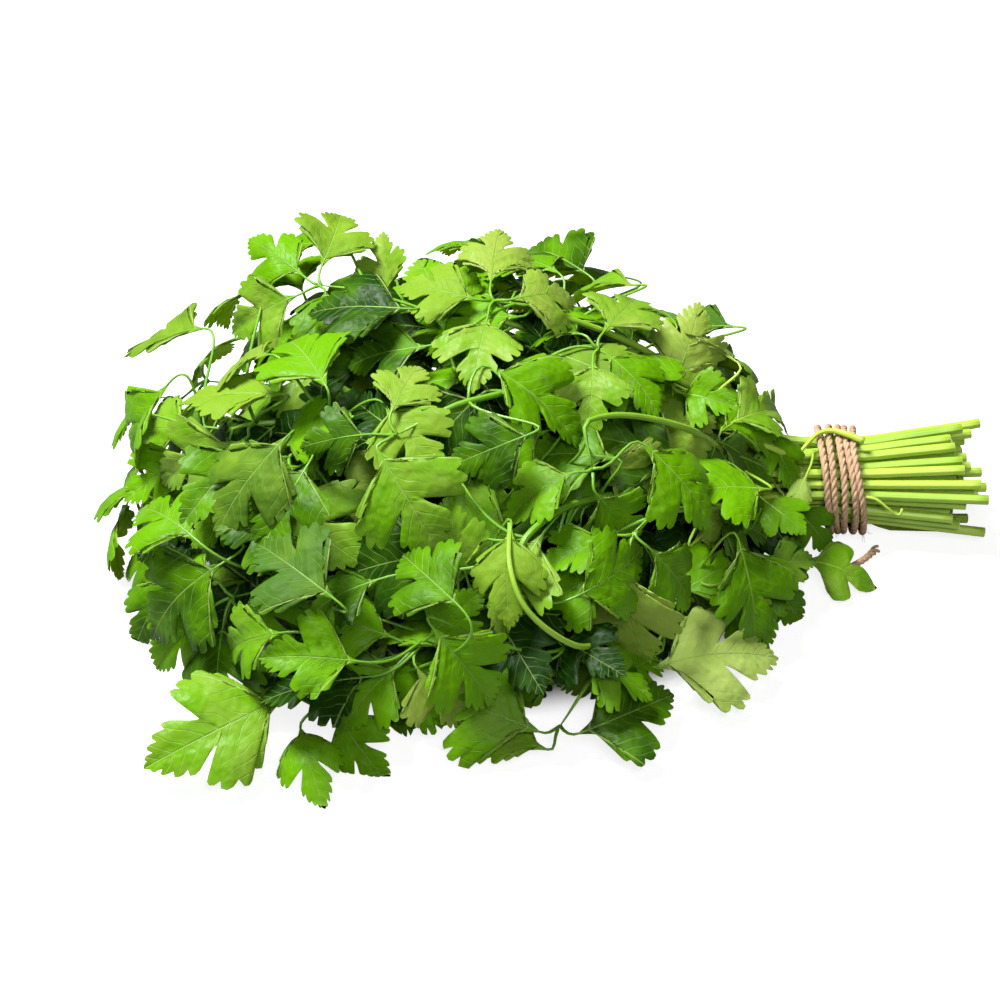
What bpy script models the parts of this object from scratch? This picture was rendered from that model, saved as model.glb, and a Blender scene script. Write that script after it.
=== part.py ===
"""A tied bunch of flat-leaf herbs lying on its side, foliage towards -X, cut ends towards +X.

Every leafy stem is one closed body: its cut stalk, its branches and its lobed leaflets.
All lengths below are in millimetres, and the finished meshes are in metres.
While the bunch is laid out, the middle of the tie is at X 0, Y 0 and the floor at Z 0.
"""
import math
import random

import bpy
from mathutils import Matrix, Vector
from mathutils.bvhtree import BVHTree

MILLIMETRE = 0.001
SEED = 7

# The tie
TIE_HEIGHT = 19.6
BUNDLE_RADIUS = 14.95
SLOT_PITCH = 3.8
WRAP_RADIUS = 18.3
TWINE_RADIUS = 1.25
WRAP_TURNS = 5
WRAP_PITCH = 2.9
WRAP_SLANT = 3.0
WRAP_STEPS = 14
TAIL_POINTS = ((-3, -17, 3.4), (-7, -24, 1.9), (-2, -28, 1.6), (6, -23, 1.6), (12, -17, 2.4))
TAIL_STEPS = 2

# The stalks
STALK_RADIUS = 1.72
TIP_RADIUS = 0.8
CORNER_SHARE = {4: 1.2, 6: 1.1}
HUB_HALF_LENGTH = 1.3
ROUND_RINGS = 4
CUT_REACH = (36.0, 50.0)
END_SPREAD = 1.14

# The fan of the foliage
OPENING_LENGTH = 40.0
FRONT_ANGLE = 70.0
BACK_ANGLE = 58.0
TOP_ANGLE = 52.0
LOW_ANGLE = -4.0
LONGEST_REACH = 262.0
LAYER_SHARES = (1.0, 0.82, 0.94, 0.7)
MOUND_CENTRE = Vector((-130.0, 0.0, -10.0))
MOUND_SIZE = Vector((130.0, 115.0, 110.0))

# The leaflets
BLADE_THICKNESS = 0.9
BLADE_ROOT = 1.3
CLEARANCE = 0.28
TRIES = 34

# Shells of the foliage that are filled up: share of the reach, outline, most leaflets, gap
SHELLS = ((0.97, 1, 60, 13.0), (0.8, 2, 45, 14.0))

# Half outlines from the root to the tip, as shares of the length: along, across and above
FULL_LEAF = (
    (0.17, 0.15, 0.00), (0.22, 0.38, -0.07), (0.36, 0.37, -0.04), (0.50, 0.54, -0.12),
    (0.68, 0.46, -0.10), (0.62, 0.23, -0.04), (0.86, 0.23, -0.07),
)
MIDDLE_LEAF = (
    (0.20, 0.33, -0.05), (0.42, 0.52, -0.11), (0.67, 0.46, -0.10), (0.62, 0.23, -0.04),
    (0.86, 0.22, -0.07),
)
PLAIN_LEAF = ((0.24, 0.40, -0.07), (0.60, 0.49, -0.11), (0.64, 0.26, -0.05))
TIP_DROP = -0.13
BLADE_CENTRE = (0.42, 0.0, 0.03)
OUTLINES = (FULL_LEAF, MIDDLE_LEAF, PLAIN_LEAF)

# Which way the leaflets that show face before their roll
HERO_FACING = Vector((0.0, -0.6, 0.8))

# Stems that show: the points that the stalk runs through, and leaflets as root, tip, roll,
# outline and width
HERO_STEMS = (
    # the leaf that hangs out beside the tie
    (((-30, -24, 12), (-25, -30, 11), (-20, -33, 10)), (
        ((-15, -34, 11), (9, -39, 9), -8, 0, 0.95),)),
    # in front, between the tie and the pale leaf
    (((-28, -22, 15), (-37, -38, 21), (-39, -44, 20)), (
        ((-38, -52, 18), (-30, -72, 6), 0, 0, 0.95), ((-32, -48, 20), (-12, -50, 16), 0, 1, 1.0),
        ((-40, -42, 26), (-46, -54, 44), 0, 1, 1.0))),
    # shaded leaves behind the tie
    (((-20, -10, 36), (-40, -18, 52), (-46, -20, 55)), (
        ((-45, -26, 53), (-34, -44, 36), -15, 1, 1.0), ((-42, -16, 56), (-20, -6, 44), -20, 0, 1.0))),
    # top right
    (((-34, -6, 50), (-54, -14, 66), (-63, -14, 71)), (
        ((-62, -7, 73), (-50, 18, 74), 0, 0, 0.95), ((-70, -10, 75), (-84, 8, 84), 10, 1, 0.9),
        ((-60, -20, 71), (-44, -38, 62), -10, 1, 1.0))),
    (((-46, -10, 62), (-80, -20, 86), (-88, -22, 90)), (
        ((-86, -15, 92), (-72, 10, 92), 0, 0, 0.95), ((-93, -18, 93), (-110, 4, 100), 10, 1, 0.9),
        ((-90, -29, 90), (-92, -54, 80), 0, 0, 1.0))),
    # low on the left, towards the front
    (((-100, -62, 9), (-150, -92, 9), (-177, -106, 10)), (
        ((-188, -110, 9), (-226, -136, 3), 5, 0, 0.85), ((-183, -115, 9), (-192, -146, 4), -10, 0, 0.8),
        ((-172, -112, 10), (-158, -132, 3), 10, 1, 0.9), ((-186, -102, 13), (-208, -96, 12), 30, 1, 0.9))),
    # low in front, in the middle
    (((-50, -50, 12), (-84, -92, 20), (-101, -114, 9)), (
        ((-108, -119, 9), (-143, -107, 17), 0, 0, 1.0), ((-105, -122, 6), (-136, -136, 3), -25, 1, 0.7),
        ((-95, -119, 9), (-64, -109, 15), 0, 0, 1.0))),
    # low in front, on the right
    (((-40, -38, 24), (-58, -62, 26), (-66, -78, 20)), (
        ((-70, -92, 14), (-33, -84, 24), -10, 0, 0.95), ((-62, -70, 26), (-40, -58, 34), -10, 1, 1.0))),
    # bare stalk that bends down over the front
    (((-88, -62, 60), (-112, -90, 66), (-114, -98, 50), (-100, -104, 33)), (
        ((-95, -107, 31), (-72, -110, 20), -20, 0, 0.8), ((-104, -106, 30), (-120, -106, 14), 10, 1, 0.9))),
    # drooping pair in front
    (((-50, -50, 46), (-70, -70, 60), (-78, -80, 60)), (
        ((-80, -87, 54), (-80, -101, 20), 20, 0, 0.85), ((-73, -83, 56), (-54, -92, 30), -20, 0, 0.9),
        ((-86, -82, 60), (-106, -92, 54), 20, 1, 1.0))),
    # arched stalk on the front
    (((-60, -38, 70), (-92, -56, 86), (-91, -68, 76)), (
        ((-90, -74, 71), (-80, -90, 48), 0, 0, 1.0), ((-97, -70, 76), (-120, -78, 68), 20, 1, 1.0))),
    # big light leaflet
    (((-90, -30, 80), (-130, -54, 92), (-152, -66, 88)), (
        ((-158, -72, 86), (-138, -94, 66), 10, 0, 1.05), ((-161, -66, 88), (-182, -64, 84), -10, 1, 1.0),
        ((-154, -60, 92), (-146, -40, 98), 0, 1, 1.0))),
    # curved stalk on the left
    (((-120, -30, 74), (-172, -42, 76), (-194, -54, 63)), (
        ((-191, -62, 60), (-168, -86, 52), 15, 0, 1.1), ((-202, -58, 60), (-218, -70, 46), 0, 1, 0.9),
        ((-190, -48, 70), (-168, -52, 84), -20, 1, 1.0))),
    # thin arched stalk at the far left
    (((-150, -22, 58), (-200, -30, 66), (-216, -30, 60)), (
        ((-222, -34, 57), (-244, -42, 44), 0, 0, 0.9), ((-223, -24, 58), (-247, -8, 50), 10, 0, 0.9))),
    # left, half way down
    (((-130, -56, 26), (-180, -72, 34), (-206, -77, 31)), (
        ((-213, -79, 28), (-234, -86, 10), 0, 0, 0.8), ((-209, -83, 25), (-214, -112, 6), 10, 0, 0.85),
        ((-203, -83, 31), (-182, -97, 32), 20, 1, 1.0), ((-213, -71, 34), (-232, -60, 30), 20, 1, 0.9))),
    # lowest at the far left
    (((-150, -20, 16), (-205, -40, 24), (-222, -48, 22)), (
        ((-228, -53, 20), (-243, -70, 6), 10, 1, 0.9), ((-229, -45, 22), (-252, -36, 12), 0, 0, 0.9),
        ((-225, -41, 25), (-240, -18, 22), 10, 1, 0.9))),
    # in front, left of the middle
    (((-84, -52, 24), (-130, -88, 34), (-146, -100, 30)), (
        ((-152, -106, 28), (-170, -118, 12), 0, 0, 0.95), ((-146, -108, 28), (-134, -124, 14), 0, 0, 1.0),
        ((-154, -100, 34), (-176, -98, 42), 10, 1, 1.0), ((-142, -102, 36), (-128, -102, 54), 0, 1, 0.95))),
    # top left
    (((-100, 0, 78), (-160, 8, 92), (-180, 10, 94)), (
        ((-186, 14, 95), (-206, 32, 100), 0, 0, 0.8), ((-180, 17, 97), (-172, 44, 104), 10, 0, 0.95),
        ((-188, 5, 93), (-212, 2, 84), -10, 0, 0.95), ((-178, 3, 96), (-176, -22, 94), 0, 1, 1.0))),
    # top, lit from behind
    (((-70, -4, 76), (-108, -10, 98), (-122, -12, 102)), (
        ((-123, -5, 105), (-121, 20, 110), 0, 0, 0.95), ((-128, -14, 104), (-153, -8, 107), 10, 0, 1.0),
        ((-116, -14, 104), (-93, -4, 102), -10, 0, 1.0), ((-124, -20, 101), (-130, -46, 93), 0, 0, 1.0))),
)


class Body:
    """A closed mesh that grows ring by ring."""

    def __init__(self):
        self.points = []
        self.faces = []

    def ring(self, points):
        first = len(self.points)
        self.points.extend(points)
        return list(range(first, first + len(points)))

    def wall(self, near, far, left_open=()):
        count = len(near)
        openings = {}
        for side in range(count):
            after = (side + 1) % count
            quad = (near[side], near[after], far[after], far[side])
            if side in left_open:
                openings[side] = quad
            else:
                self.faces.append(quad)
        return openings

    def narrow(self, near, far):
        """Joins six corners to four."""
        self.faces.append((near[0], near[1], far[1], far[0]))
        self.faces.append((near[3], near[4], far[3], far[2]))
        self.faces.append((near[1], near[2], far[1]))
        self.faces.append((near[2], far[2], far[1]))
        self.faces.append((near[2], near[3], far[2]))
        self.faces.append((near[4], near[5], far[3]))
        self.faces.append((near[5], far[0], far[3]))
        self.faces.append((near[5], near[0], far[0]))

    def join_best(self, near, far):
        """Joins two four-cornered rings with the least twist."""
        middle_near = average([self.points[i] for i in near])
        middle_far = average([self.points[i] for i in far])
        shift = middle_near - middle_far

        def spread(turn):
            pairs = zip(turned(near, turn), far)
            return sum((self.points[a] - self.points[b] - shift).length_squared for a, b in pairs)

        best = min(range(4), key=spread)
        self.wall(turned(near, best), far)

    def close_start(self, ring):
        self.faces.append(tuple(reversed(ring)))

    def close_end(self, ring):
        self.faces.append(tuple(ring))

    def tree(self):
        return BVHTree.FromPolygons(self.points, self.faces)

    def lowest(self):
        return min(point.z for point in self.points)


def turned(ring, turn):
    return list(ring[turn:]) + list(ring[:turn])


def average(points):
    return sum(points, Vector()) / len(points)


def square_to(vector, direction):
    """The part of a vector that is square to a direction, made one unit long."""
    return (vector - direction * vector.dot(direction)).normalized()


def ring_points(centre, along, up, radius, count):
    """Corners round a centre; the left and right sides of the ring are flat."""
    left = up.cross(along)
    half_side = math.pi / count
    corners = []
    for corner in range(count):
        angle = (2 * corner - 1) * half_side
        corners.append(centre + (left * math.cos(angle) + up * math.sin(angle)) * radius)
    return corners


def leaf_outline(kind):
    """The leaf's corners from the right of the root round the tip to the left of the root."""
    half = OUTLINES[kind]
    right = [(along, -across, above) for along, across, above in half]
    left = [(along, across, above) for along, across, above in reversed(half)]
    return right + [(1.0, 0.0, TIP_DROP)] + left


class Leaflet:
    """One lobed blade on its short stalk."""

    def __init__(self, hub, root, tip, normal, kind, width=1.0):
        self.hub = hub
        self.root = root
        self.along = (tip - root).normalized()
        self.length = (tip - root).length
        self.normal = square_to(normal, self.along)
        self.kind = kind
        self.width = width

    def add_blade(self, body, extra=0.0):
        """Adds the slab of the blade and returns the four corners of its open root."""
        across = self.normal.cross(self.along)
        half_depth = self.normal * (BLADE_THICKNESS / 2 + extra)
        half_root = across * (BLADE_ROOT / 2 + extra)
        grown = 1 + extra / self.length

        def place(share):
            along, side, above = share
            offset = (self.along * along * grown + across * side * self.width * grown
                      + self.normal * above)
            return self.root + offset * self.length

        outline = [self.root - half_root]
        outline.extend(place(share) for share in leaf_outline(self.kind))
        outline.append(self.root + half_root)
        middle = place(BLADE_CENTRE)
        top = body.ring([point + half_depth for point in outline] + [middle + half_depth])
        under = body.ring([point - half_depth for point in outline] + [middle - half_depth])
        last = len(outline) - 1
        for here in range(last + 1):
            after = (here + 1) % (last + 1)
            body.faces.append((top[-1], top[here], top[after]))
            body.faces.append((under[-1], under[after], under[here]))
            if here != last:
                body.faces.append((under[here], under[after], top[after], top[here]))
        return [under[last], top[last], top[0], under[0]]

    def test_body(self, hub_point, hub_gap):
        """A slightly swollen copy that starts clear of the hub, to find what it would touch."""
        body = Body()
        root_ring = self.add_blade(body, CLEARANCE)
        run = self.root - hub_point
        start = hub_point + run.normalized() * hub_gap
        if (start - hub_point).length < run.length - 0.5:
            radius = BLADE_ROOT * 0.75 + CLEARANCE
            near = ring_points(start, run.normalized(), square_to(self.normal, run.normalized()),
                               radius, 4)
            ring = body.ring(near)
            body.join_best(ring, root_ring)
            body.close_start(ring)
        return body

    def middle(self):
        return self.root + self.along * self.length * 0.5

    def lift(self, height):
        self.root = self.root + Vector((0, 0, height))


def tie_slots():
    """Places of the stalks in the tie, packed side by side in rows."""
    slots = []
    row_height = SLOT_PITCH * math.sqrt(3) / 2
    rows = int(BUNDLE_RADIUS / row_height)
    for row in range(-rows, rows + 1):
        offset = 0.5 * (row % 2)
        for column in range(-rows, rows + 1):
            across = (column + offset) * SLOT_PITCH
            if math.hypot(across, row * row_height) <= BUNDLE_RADIUS:
                slots.append(Vector((0.0, across, row * row_height)))
    return slots


def fan_of_slot(slot):
    """The sideways and upward angles that a stalk takes from its place in the tie."""
    half_row = math.sqrt(BUNDLE_RADIUS ** 2 - slot.z ** 2) + 1.0
    share = -slot.y / half_row
    sideways = share * (FRONT_ANGLE if share > 0 else BACK_ANGLE)
    height = (slot.z + BUNDLE_RADIUS) / (2 * BUNDLE_RADIUS)
    upward = LOW_ANGLE + (TOP_ANGLE - LOW_ANGLE) * height ** 1.2
    return sideways, upward


def mound_reach(sideways, upward):
    """How far the foliage reaches from the tie along a direction of the fan."""
    if sideways > 0:
        across = (sideways / 76.0) ** 1.23
    else:
        across = -sideways / 64.0
    spread = min(1.0, math.hypot(across, upward / 56.0))
    return LONGEST_REACH * (0.2 + 0.8 * (0.5 + 0.5 * math.cos(math.pi * spread ** 1.3)))


def fan_direction(sideways, upward):
    yaw = math.radians(sideways)
    rise = math.radians(upward)
    return Vector((-math.cos(yaw) * math.cos(rise), -math.sin(yaw) * math.cos(rise),
                   math.sin(rise)))


def mound_normal(point):
    """Which way is out of the foliage at a point, leaning upwards."""
    out = Vector((point[i] - MOUND_CENTRE[i]) / MOUND_SIZE[i] ** 2 for i in range(3))
    return (out.normalized() + Vector((0, 0, 0.45))).normalized()


def curve_point(start, first_pull, last_pull, end, share):
    rest = 1 - share
    return (start * rest ** 3 + first_pull * (3 * rest ** 2 * share)
            + last_pull * (3 * rest * share ** 2) + end * share ** 3)


class Stem:
    """One stalk: its run from the cut end to its last hub, with places for leaflets."""

    def __init__(self, number, slot, random_source):
        self.number = number
        self.slot = slot
        self.random = random_source
        self.leaflets = {}
        self.shade = random_source.random()
        self.tie_point = Vector((0.0, slot.y, TIE_HEIGHT + slot.z))
        self.cut_points = self.run_to_cut_end()

    def run_to_cut_end(self):
        reach = self.random.uniform(*CUT_REACH)
        spread = END_SPREAD * self.random.uniform(0.985, 1.015)
        height = TIE_HEIGHT + 0.6 + self.slot.z * spread
        if self.lies_flat():
            height = STALK_RADIUS * CORNER_SHARE[6] * math.cos(math.pi / 6)
        end = Vector((reach, self.slot.y * spread, height))
        bend = Vector((reach * 0.55, self.slot.y * (1 + spread) / 2,
                       height if self.lies_flat() else (height + self.tie_point.z) / 2))
        return [end, bend, self.tie_point + Vector((7, 0, 0)), self.tie_point + Vector((-7, 0, 0))]

    def set_run(self, curve_points, hub_places):
        """Takes the points past the tie; the last one is the end hub."""
        self.points = self.cut_points + curve_points
        self.hubs = [len(self.cut_points) + place for place in hub_places]

    def frames(self):
        """Direction and up vector at every point of the stalk."""
        result = []
        up = Vector((0, 0, 1))
        for index, point in enumerate(self.points):
            before = self.points[max(index - 1, 0)]
            after = self.points[min(index + 1, len(self.points) - 1)]
            along = (after - before).normalized()
            if self.lies_flat() and index < 2:
                along = Vector((-1, 0, 0))
                flat_side_down = Matrix.Rotation(math.pi / 6, 3, along)
                result.append((along, flat_side_down @ Vector((0, 0, 1))))
                continue
            up = square_to(up, along)
            result.append((along, up))
        return result

    def lies_flat(self):
        """Whether the stalk is one of the lowest, whose cut end lies on the floor."""
        return self.slot.z < -BUNDLE_RADIUS * 0.8

    def radius_at(self, index):
        share = max(0, index - 3) / (len(self.points) - 4)
        return STALK_RADIUS + (TIP_RADIUS - STALK_RADIUS) * share ** 0.8

    def tube(self, extra):
        """The bare stalk, to test what it touches."""
        body = Body()
        near = None
        for index, (along, up) in enumerate(self.frames()):
            count = 6 if index < ROUND_RINGS else 4
            radius = self.radius_at(index) * CORNER_SHARE[count] + extra
            far = body.ring(ring_points(self.points[index], along, up, radius, count))
            near = join_run(body, near, far)
        body.close_end(near)
        return body


def opening(distance):
    """How much of its final angles a stalk has taken at a distance past the tie."""
    share = min(1.0, distance / OPENING_LENGTH)
    return share * share * (3 - 2 * share)


def fan_run(start, fan, distances, droop, length):
    """Points of a stalk that opens out of the tie like its neighbours, then droops."""
    sideways, upward = fan
    point = start.copy()
    points = []
    walked = 0.0
    for distance in distances:
        while walked < distance:
            late = max(0.0, walked / length - 0.4) / 0.6
            turn = opening(walked)
            step = min(1.0, distance - walked)
            rise = upward * turn - droop * late * late
            point = point + fan_direction(sideways * turn, rise) * step
            walked += step
        points.append(point.copy())
    return points


def angles_to(target):
    """The fan angles of a place, seen from the tie."""
    run = target - Vector((0, 0, TIE_HEIGHT))
    flat = math.hypot(run.x, run.y)
    return math.degrees(math.atan2(-run.y, -run.x)), math.degrees(math.atan2(run.z, flat))


def hero_stem(number, free, points, trees):
    """Runs a stalk through its given points, from the best place in the tie that is clear."""
    fan = angles_to(points[0])

    def distance(slot):
        sideways, upward = fan_of_slot(slot)
        return math.hypot(sideways - fan[0], 1.6 * (upward - fan[1]))

    slots = sorted(free, key=distance)[:16]
    for try_number in range(480):
        slot = slots[try_number % len(slots)]
        stem = Stem(number, slot, random.Random(SEED * 1000 + number))
        bend = 0.04 * try_number
        run = [nudged(point, bend, stem.random) for point in points[:-1]] + [points[-1]]
        near = min(24.0, 0.5 * points[0].length)
        past_tie = fan_run(stem.cut_points[-1], angles_to(run[0]), (near,), 0.0, 1000.0)
        stem.set_run(past_tie + run, (len(points),))
        tube = stem.tube(0.12)
        tree = tube.tree()
        if not any(tree.overlap(other) for other in trees):
            free.remove(slot)
            stem.fan = angles_to(run[0])
            return stem, tube, tree
    raise RuntimeError(f"the stalk that shows, number {number}, has no clear run")


def nudged(point, amount, random_source):
    return point + Vector(random_source.uniform(-amount, amount) for _ in range(3))


def local_fan(slot, shifts):
    """The fan angles of a place in the tie, bent by the stalks that run beside it."""
    fan = fan_of_slot(slot)
    total = 0.3
    sideways = upward = 0.0
    for other, side_shift, up_shift in shifts:
        weight = math.exp(-((slot - other).length / 4.5) ** 2)
        total += weight
        sideways += weight * side_shift
        upward += weight * up_shift
    return fan[0] + sideways / total, fan[1] + upward / total


def plain_stem(number, slot, shifts, trees):
    """Runs a stalk out into the foliage by its place in the tie."""
    stem = Stem(number, slot, random.Random(SEED * 1000 + number))
    fan = local_fan(slot, shifts)
    share = LAYER_SHARES[number % len(LAYER_SHARES)]
    for try_number in range(160):
        sideways, upward = fan
        sideways += stem.random.uniform(-1, 1) * (4 + 0.15 * try_number)
        upward = max(-4.0, upward + stem.random.uniform(-1, 1) * (2.5 + 0.1 * try_number))
        reach = mound_reach(sideways, upward) * share * stem.random.uniform(0.93, 1.02) - 22
        reach = max(30.0, reach * (1 - 0.006 * try_number))
        distances = [0.24 * reach, 0.5 * reach, 0.76 * reach, reach]
        if reach > 70:
            distances[:2] = [14.0, 30.0]
        if reach > 130:
            distances.insert(2, 0.48 * reach)
        points = fan_run(stem.cut_points[-1], (sideways, upward), distances, 14.0, reach)
        for point in points:
            point.z = max(point.z, 4.0)
        stem.set_run(points, (len(points) - 2, len(points) - 1))
        tube = stem.tube(0.12)
        tree = tube.tree()
        if not any(tree.overlap(other) for other in trees):
            return stem, tube, tree
    return bare_stem(stem, trees)


def bare_stem(stem, trees):
    """A stalk that breaks off among its neighbours, a little past the tie."""
    for length in (44.0, 36.0, 28.0, 20.0, 12.0, 5.0):
        for _ in range(8):
            fan = [angle + stem.random.uniform(-2, 2) for angle in fan_of_slot(stem.slot)]
            points = fan_run(stem.cut_points[-1], fan, (length / 2, length), 0.0, 1000.0)
            stem.set_run(points, ())
            tube = stem.tube(0.12)
            tree = tube.tree()
            if not any(tree.overlap(other) for other in trees):
                return stem, tube, tree
    print("no clear run for the stalk in slot", tuple(stem.slot))
    return None


def lay_out_stalks():
    """Runs every stalk from its cut end to its last hub, clear of all the others."""
    free = tie_slots()
    found = []
    trees = []
    for number, (points, leaflets) in enumerate(HERO_STEMS):
        points = [Vector(point) for point in points]
        result = hero_stem(number, free, points, trees)
        result[0].hero_leaflets = leaflets
        found.append(result)
        trees.append(result[2])
    shifts = []
    for stem, _, _ in found:
        own = fan_of_slot(stem.slot)
        shifts.append((stem.slot, stem.fan[0] - own[0], stem.fan[1] - own[1]))
    random.Random(SEED).shuffle(free)
    for slot in free:
        result = plain_stem(len(found), slot, shifts, trees)
        if result:
            result[0].hero_leaflets = None
            found.append(result)
            trees.append(result[2])
    return [result[0] for result in found], [result[1] for result in found]


class Placed:
    """Everything that a new leaflet must stay clear of."""

    def __init__(self):
        self.items = []

    def add(self, body):
        middle = average(body.points)
        size = max((point - middle).length for point in body.points)
        self.items.append((body.tree(), middle, size))

    def touches(self, body):
        middle = average(body.points)
        size = max((point - middle).length for point in body.points)
        tree = body.tree()
        for other, other_middle, other_size in self.items:
            if (middle - other_middle).length < size + other_size and tree.overlap(other):
                return True
        return False


def inside_space(body):
    """Whether a leaflet stays in the outer bounds of the bunch and clear of the tie."""
    for point in body.points:
        if point.x < -258 or point.y < -153 or point.y > 101 or point.z > 114:
            return False
        if point.x > -14 and point.z > 20:
            return False
    return True


def settle(leaflet):
    """Lifts a leaflet that would go through the floor until it lies on it."""
    body = Body()
    leaflet.add_blade(body)
    lowest = body.lowest()
    if lowest < 0:
        leaflet.lift(-lowest)


def try_leaflet(stem, hub, leaflet, placed):
    """Keeps the leaflet if it touches nothing."""
    settle(leaflet)
    hub_point = stem.points[hub]
    gap = HUB_HALF_LENGTH + stem.radius_at(hub) + 0.9
    body = leaflet.test_body(hub_point, gap)
    if not inside_space(body) or placed.touches(body):
        return False
    placed.add(leaflet.test_body(hub_point, gap))
    stem.leaflets.setdefault(hub, []).append(leaflet)
    return True


def tilted(vector, amount, random_source):
    jitter = Vector(random_source.uniform(-amount, amount) for _ in range(3))
    return (vector + jitter).normalized()


def place_hero_leaflets(stem, placed):
    hub = stem.hubs[-1]
    for root, tip, roll, kind, width in stem.hero_leaflets:
        root = Vector(root)
        tip = Vector(tip)
        along = (tip - root).normalized()
        normal = Matrix.Rotation(math.radians(roll), 3, along) @ square_to(HERO_FACING, along)
        for try_number in range(TRIES):
            amount = 0.03 * try_number
            turned_tip = root + tilted(along, amount, stem.random) * (tip - root).length
            shrunk = root + (turned_tip - root) * (1 - 0.008 * try_number)
            leaflet = Leaflet(hub, root.copy(), shrunk, tilted(normal, amount, stem.random),
                              kind, width)
            if try_leaflet(stem, hub, leaflet, placed):
                break
        else:
            print("hero stem", stem.number, "has no room for the leaflet at", tuple(root))


def place_plain_leaflets(stem, placed):
    """A leaflet at the end and pairs at both hubs, in the plane of the compound leaf."""
    if not stem.hubs:
        return
    outer = LAYER_SHARES[stem.number % len(LAYER_SHARES)] > 0.9
    frames = stem.frames()
    plans = []
    last = stem.hubs[-1]
    plans.append((last, 0, 0 if outer else 1, (31, 38), (7, 13)))
    for side in (1, -1):
        plans.append((last, side * 62, 1 if outer else 2, (27, 33), (6, 12)))
    for side in (1, -1):
        plans.append((stem.hubs[0], side * 68, 2, (25, 31), (9, 17)))
    for hub, angle, kind, lengths, stalk_lengths in plans:
        along = frames[hub][0]
        length = stem.random.uniform(*lengths)
        stalk_length = stem.random.uniform(*stalk_lengths)
        for try_number in range(TRIES):
            amount = 0.2 + 0.03 * try_number
            normal = tilted(mound_normal(stem.points[hub]), amount, stem.random)
            forward = square_to(along - Vector((0, 0, 0.3)), normal)
            left = normal.cross(forward)
            turn = math.radians(angle + stem.random.uniform(-14 - try_number, 14 + try_number))
            run = forward * math.cos(turn) + left * math.sin(turn)
            root = stem.points[hub] + (run + normal * 0.15).normalized() * stalk_length
            droop = stem.random.uniform(0.0, 0.45)
            tip_run = (run - normal * droop).normalized()
            tip = root + tip_run * length * (1 - 0.011 * try_number)
            leaflet = Leaflet(hub, root, tip, tilted(normal, 0.15, stem.random), kind,
                              stem.random.uniform(0.85, 1.08))
            if try_leaflet(stem, hub, leaflet, placed):
                break


def shell_points(share, seed):
    """Drawn places on a shell of the foliage; the outermost has a share of one."""
    source = random.Random(seed)
    places = []
    for _ in range(1500):
        sideways = source.uniform(-60, 72)
        upward = source.uniform(-7, 54)
        reach = mound_reach(sideways, upward) * share * source.uniform(0.88, 1.0)
        if source.random() > (reach / LONGEST_REACH) ** 2 * math.cos(math.radians(upward)):
            continue
        point = Vector((0, 0, TIE_HEIGHT)) + fan_direction(sideways, upward) * reach
        if point.x < -34:
            point.z = max(point.z, 7.0)
            places.append(point)
    return places


def fill_gaps(stems, placed, shell):
    """Grows more leaflets from the stalks wherever a shell of the foliage is bare."""
    share, kind, most, smallest_gap = shell
    source = random.Random(SEED + int(100 * share))
    places = shell_points(share, SEED + int(100 * share) + 1)
    centres = [leaflet.middle() for stem in stems for group in stem.leaflets.values()
               for leaflet in group]
    gaps = [min((place - centre).length for centre in centres) for place in places]
    added = 0
    while added < most and max(gaps) > smallest_gap:
        index = max(range(len(places)), key=gaps.__getitem__)
        leaflet = grow_to(places[index], kind, stems, placed, source)
        gaps[index] = 0.0
        if leaflet:
            added += 1
            middle = leaflet.middle()
            gaps = [min(gap, (place - middle).length) for gap, place in zip(gaps, places)]
    print(added, "leaflets fill gaps; widest gap left", round(max(gaps), 1))


def grow_to(place, kind, stems, placed, source):
    """A leaflet at a place on a shell, on a stalk from a ring that is near enough."""
    hubs = []
    for stem in stems:
        for index in range(ROUND_RINGS, len(stem.points)):
            run = place - stem.points[index]
            if 14 < run.length < 58 and len(stem.leaflets.get(index, ())) < 3:
                hubs.append((run.length, stem.number, index))
    hubs.sort()
    for try_number, (_, number, index) in enumerate(hubs[:12]):
        stem = stems[number]
        run = place - stem.points[index]
        for _ in range(5):
            normal = tilted(mound_normal(place), 0.35, source)
            forward = square_to(run.normalized() + stem.frames()[index][0], normal)
            left = normal.cross(forward)
            turn = math.radians(source.uniform(-60, 60))
            heading = forward * math.cos(turn) + left * math.sin(turn)
            heading = (heading - normal * source.uniform(0.0, 0.45)).normalized()
            length = source.uniform(28, 36) - 0.4 * try_number
            root = place - heading * length * 0.45
            leaflet = Leaflet(index, root, root + heading * length, normal, kind,
                              source.uniform(0.85, 1.08))
            if try_leaflet(stem, index, leaflet, placed):
                return leaflet
    return None


def build_stem(stem):
    """The whole leafy stem as one closed body."""
    body = Body()
    near = None
    frames = stem.frames()
    for index, (along, up) in enumerate(frames):
        count = 6 if index < ROUND_RINGS else 4
        radius = stem.radius_at(index) * CORNER_SHARE[count]
        point = stem.points[index]
        if index not in stem.leaflets:
            far = body.ring(ring_points(point, along, up, radius, count))
            near = join_run(body, near, far)
            continue
        half = along * HUB_HALF_LENGTH
        first = body.ring(ring_points(point - half, along, up, radius, 4))
        second = body.ring(ring_points(point + half, along, up, radius, 4))
        near = join_run(body, near, first)
        ends = share_sides(stem.leaflets[index], point, along, up, index == len(frames) - 1)
        openings = body.wall(first, second, left_open=[side for side in ends if side != END])
        if END in ends:
            openings[END] = second
        for side, leaflet in ends.items():
            body.join_best(openings[side], leaflet.add_blade(body))
        near = None if END in ends else second
    if near:
        body.close_end(near)
    return body


def join_run(body, near, far):
    if near is None:
        body.close_start(far)
    elif len(near) == len(far):
        body.wall(near, far)
    else:
        body.narrow(near, far)
    return far


END = 4


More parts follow.
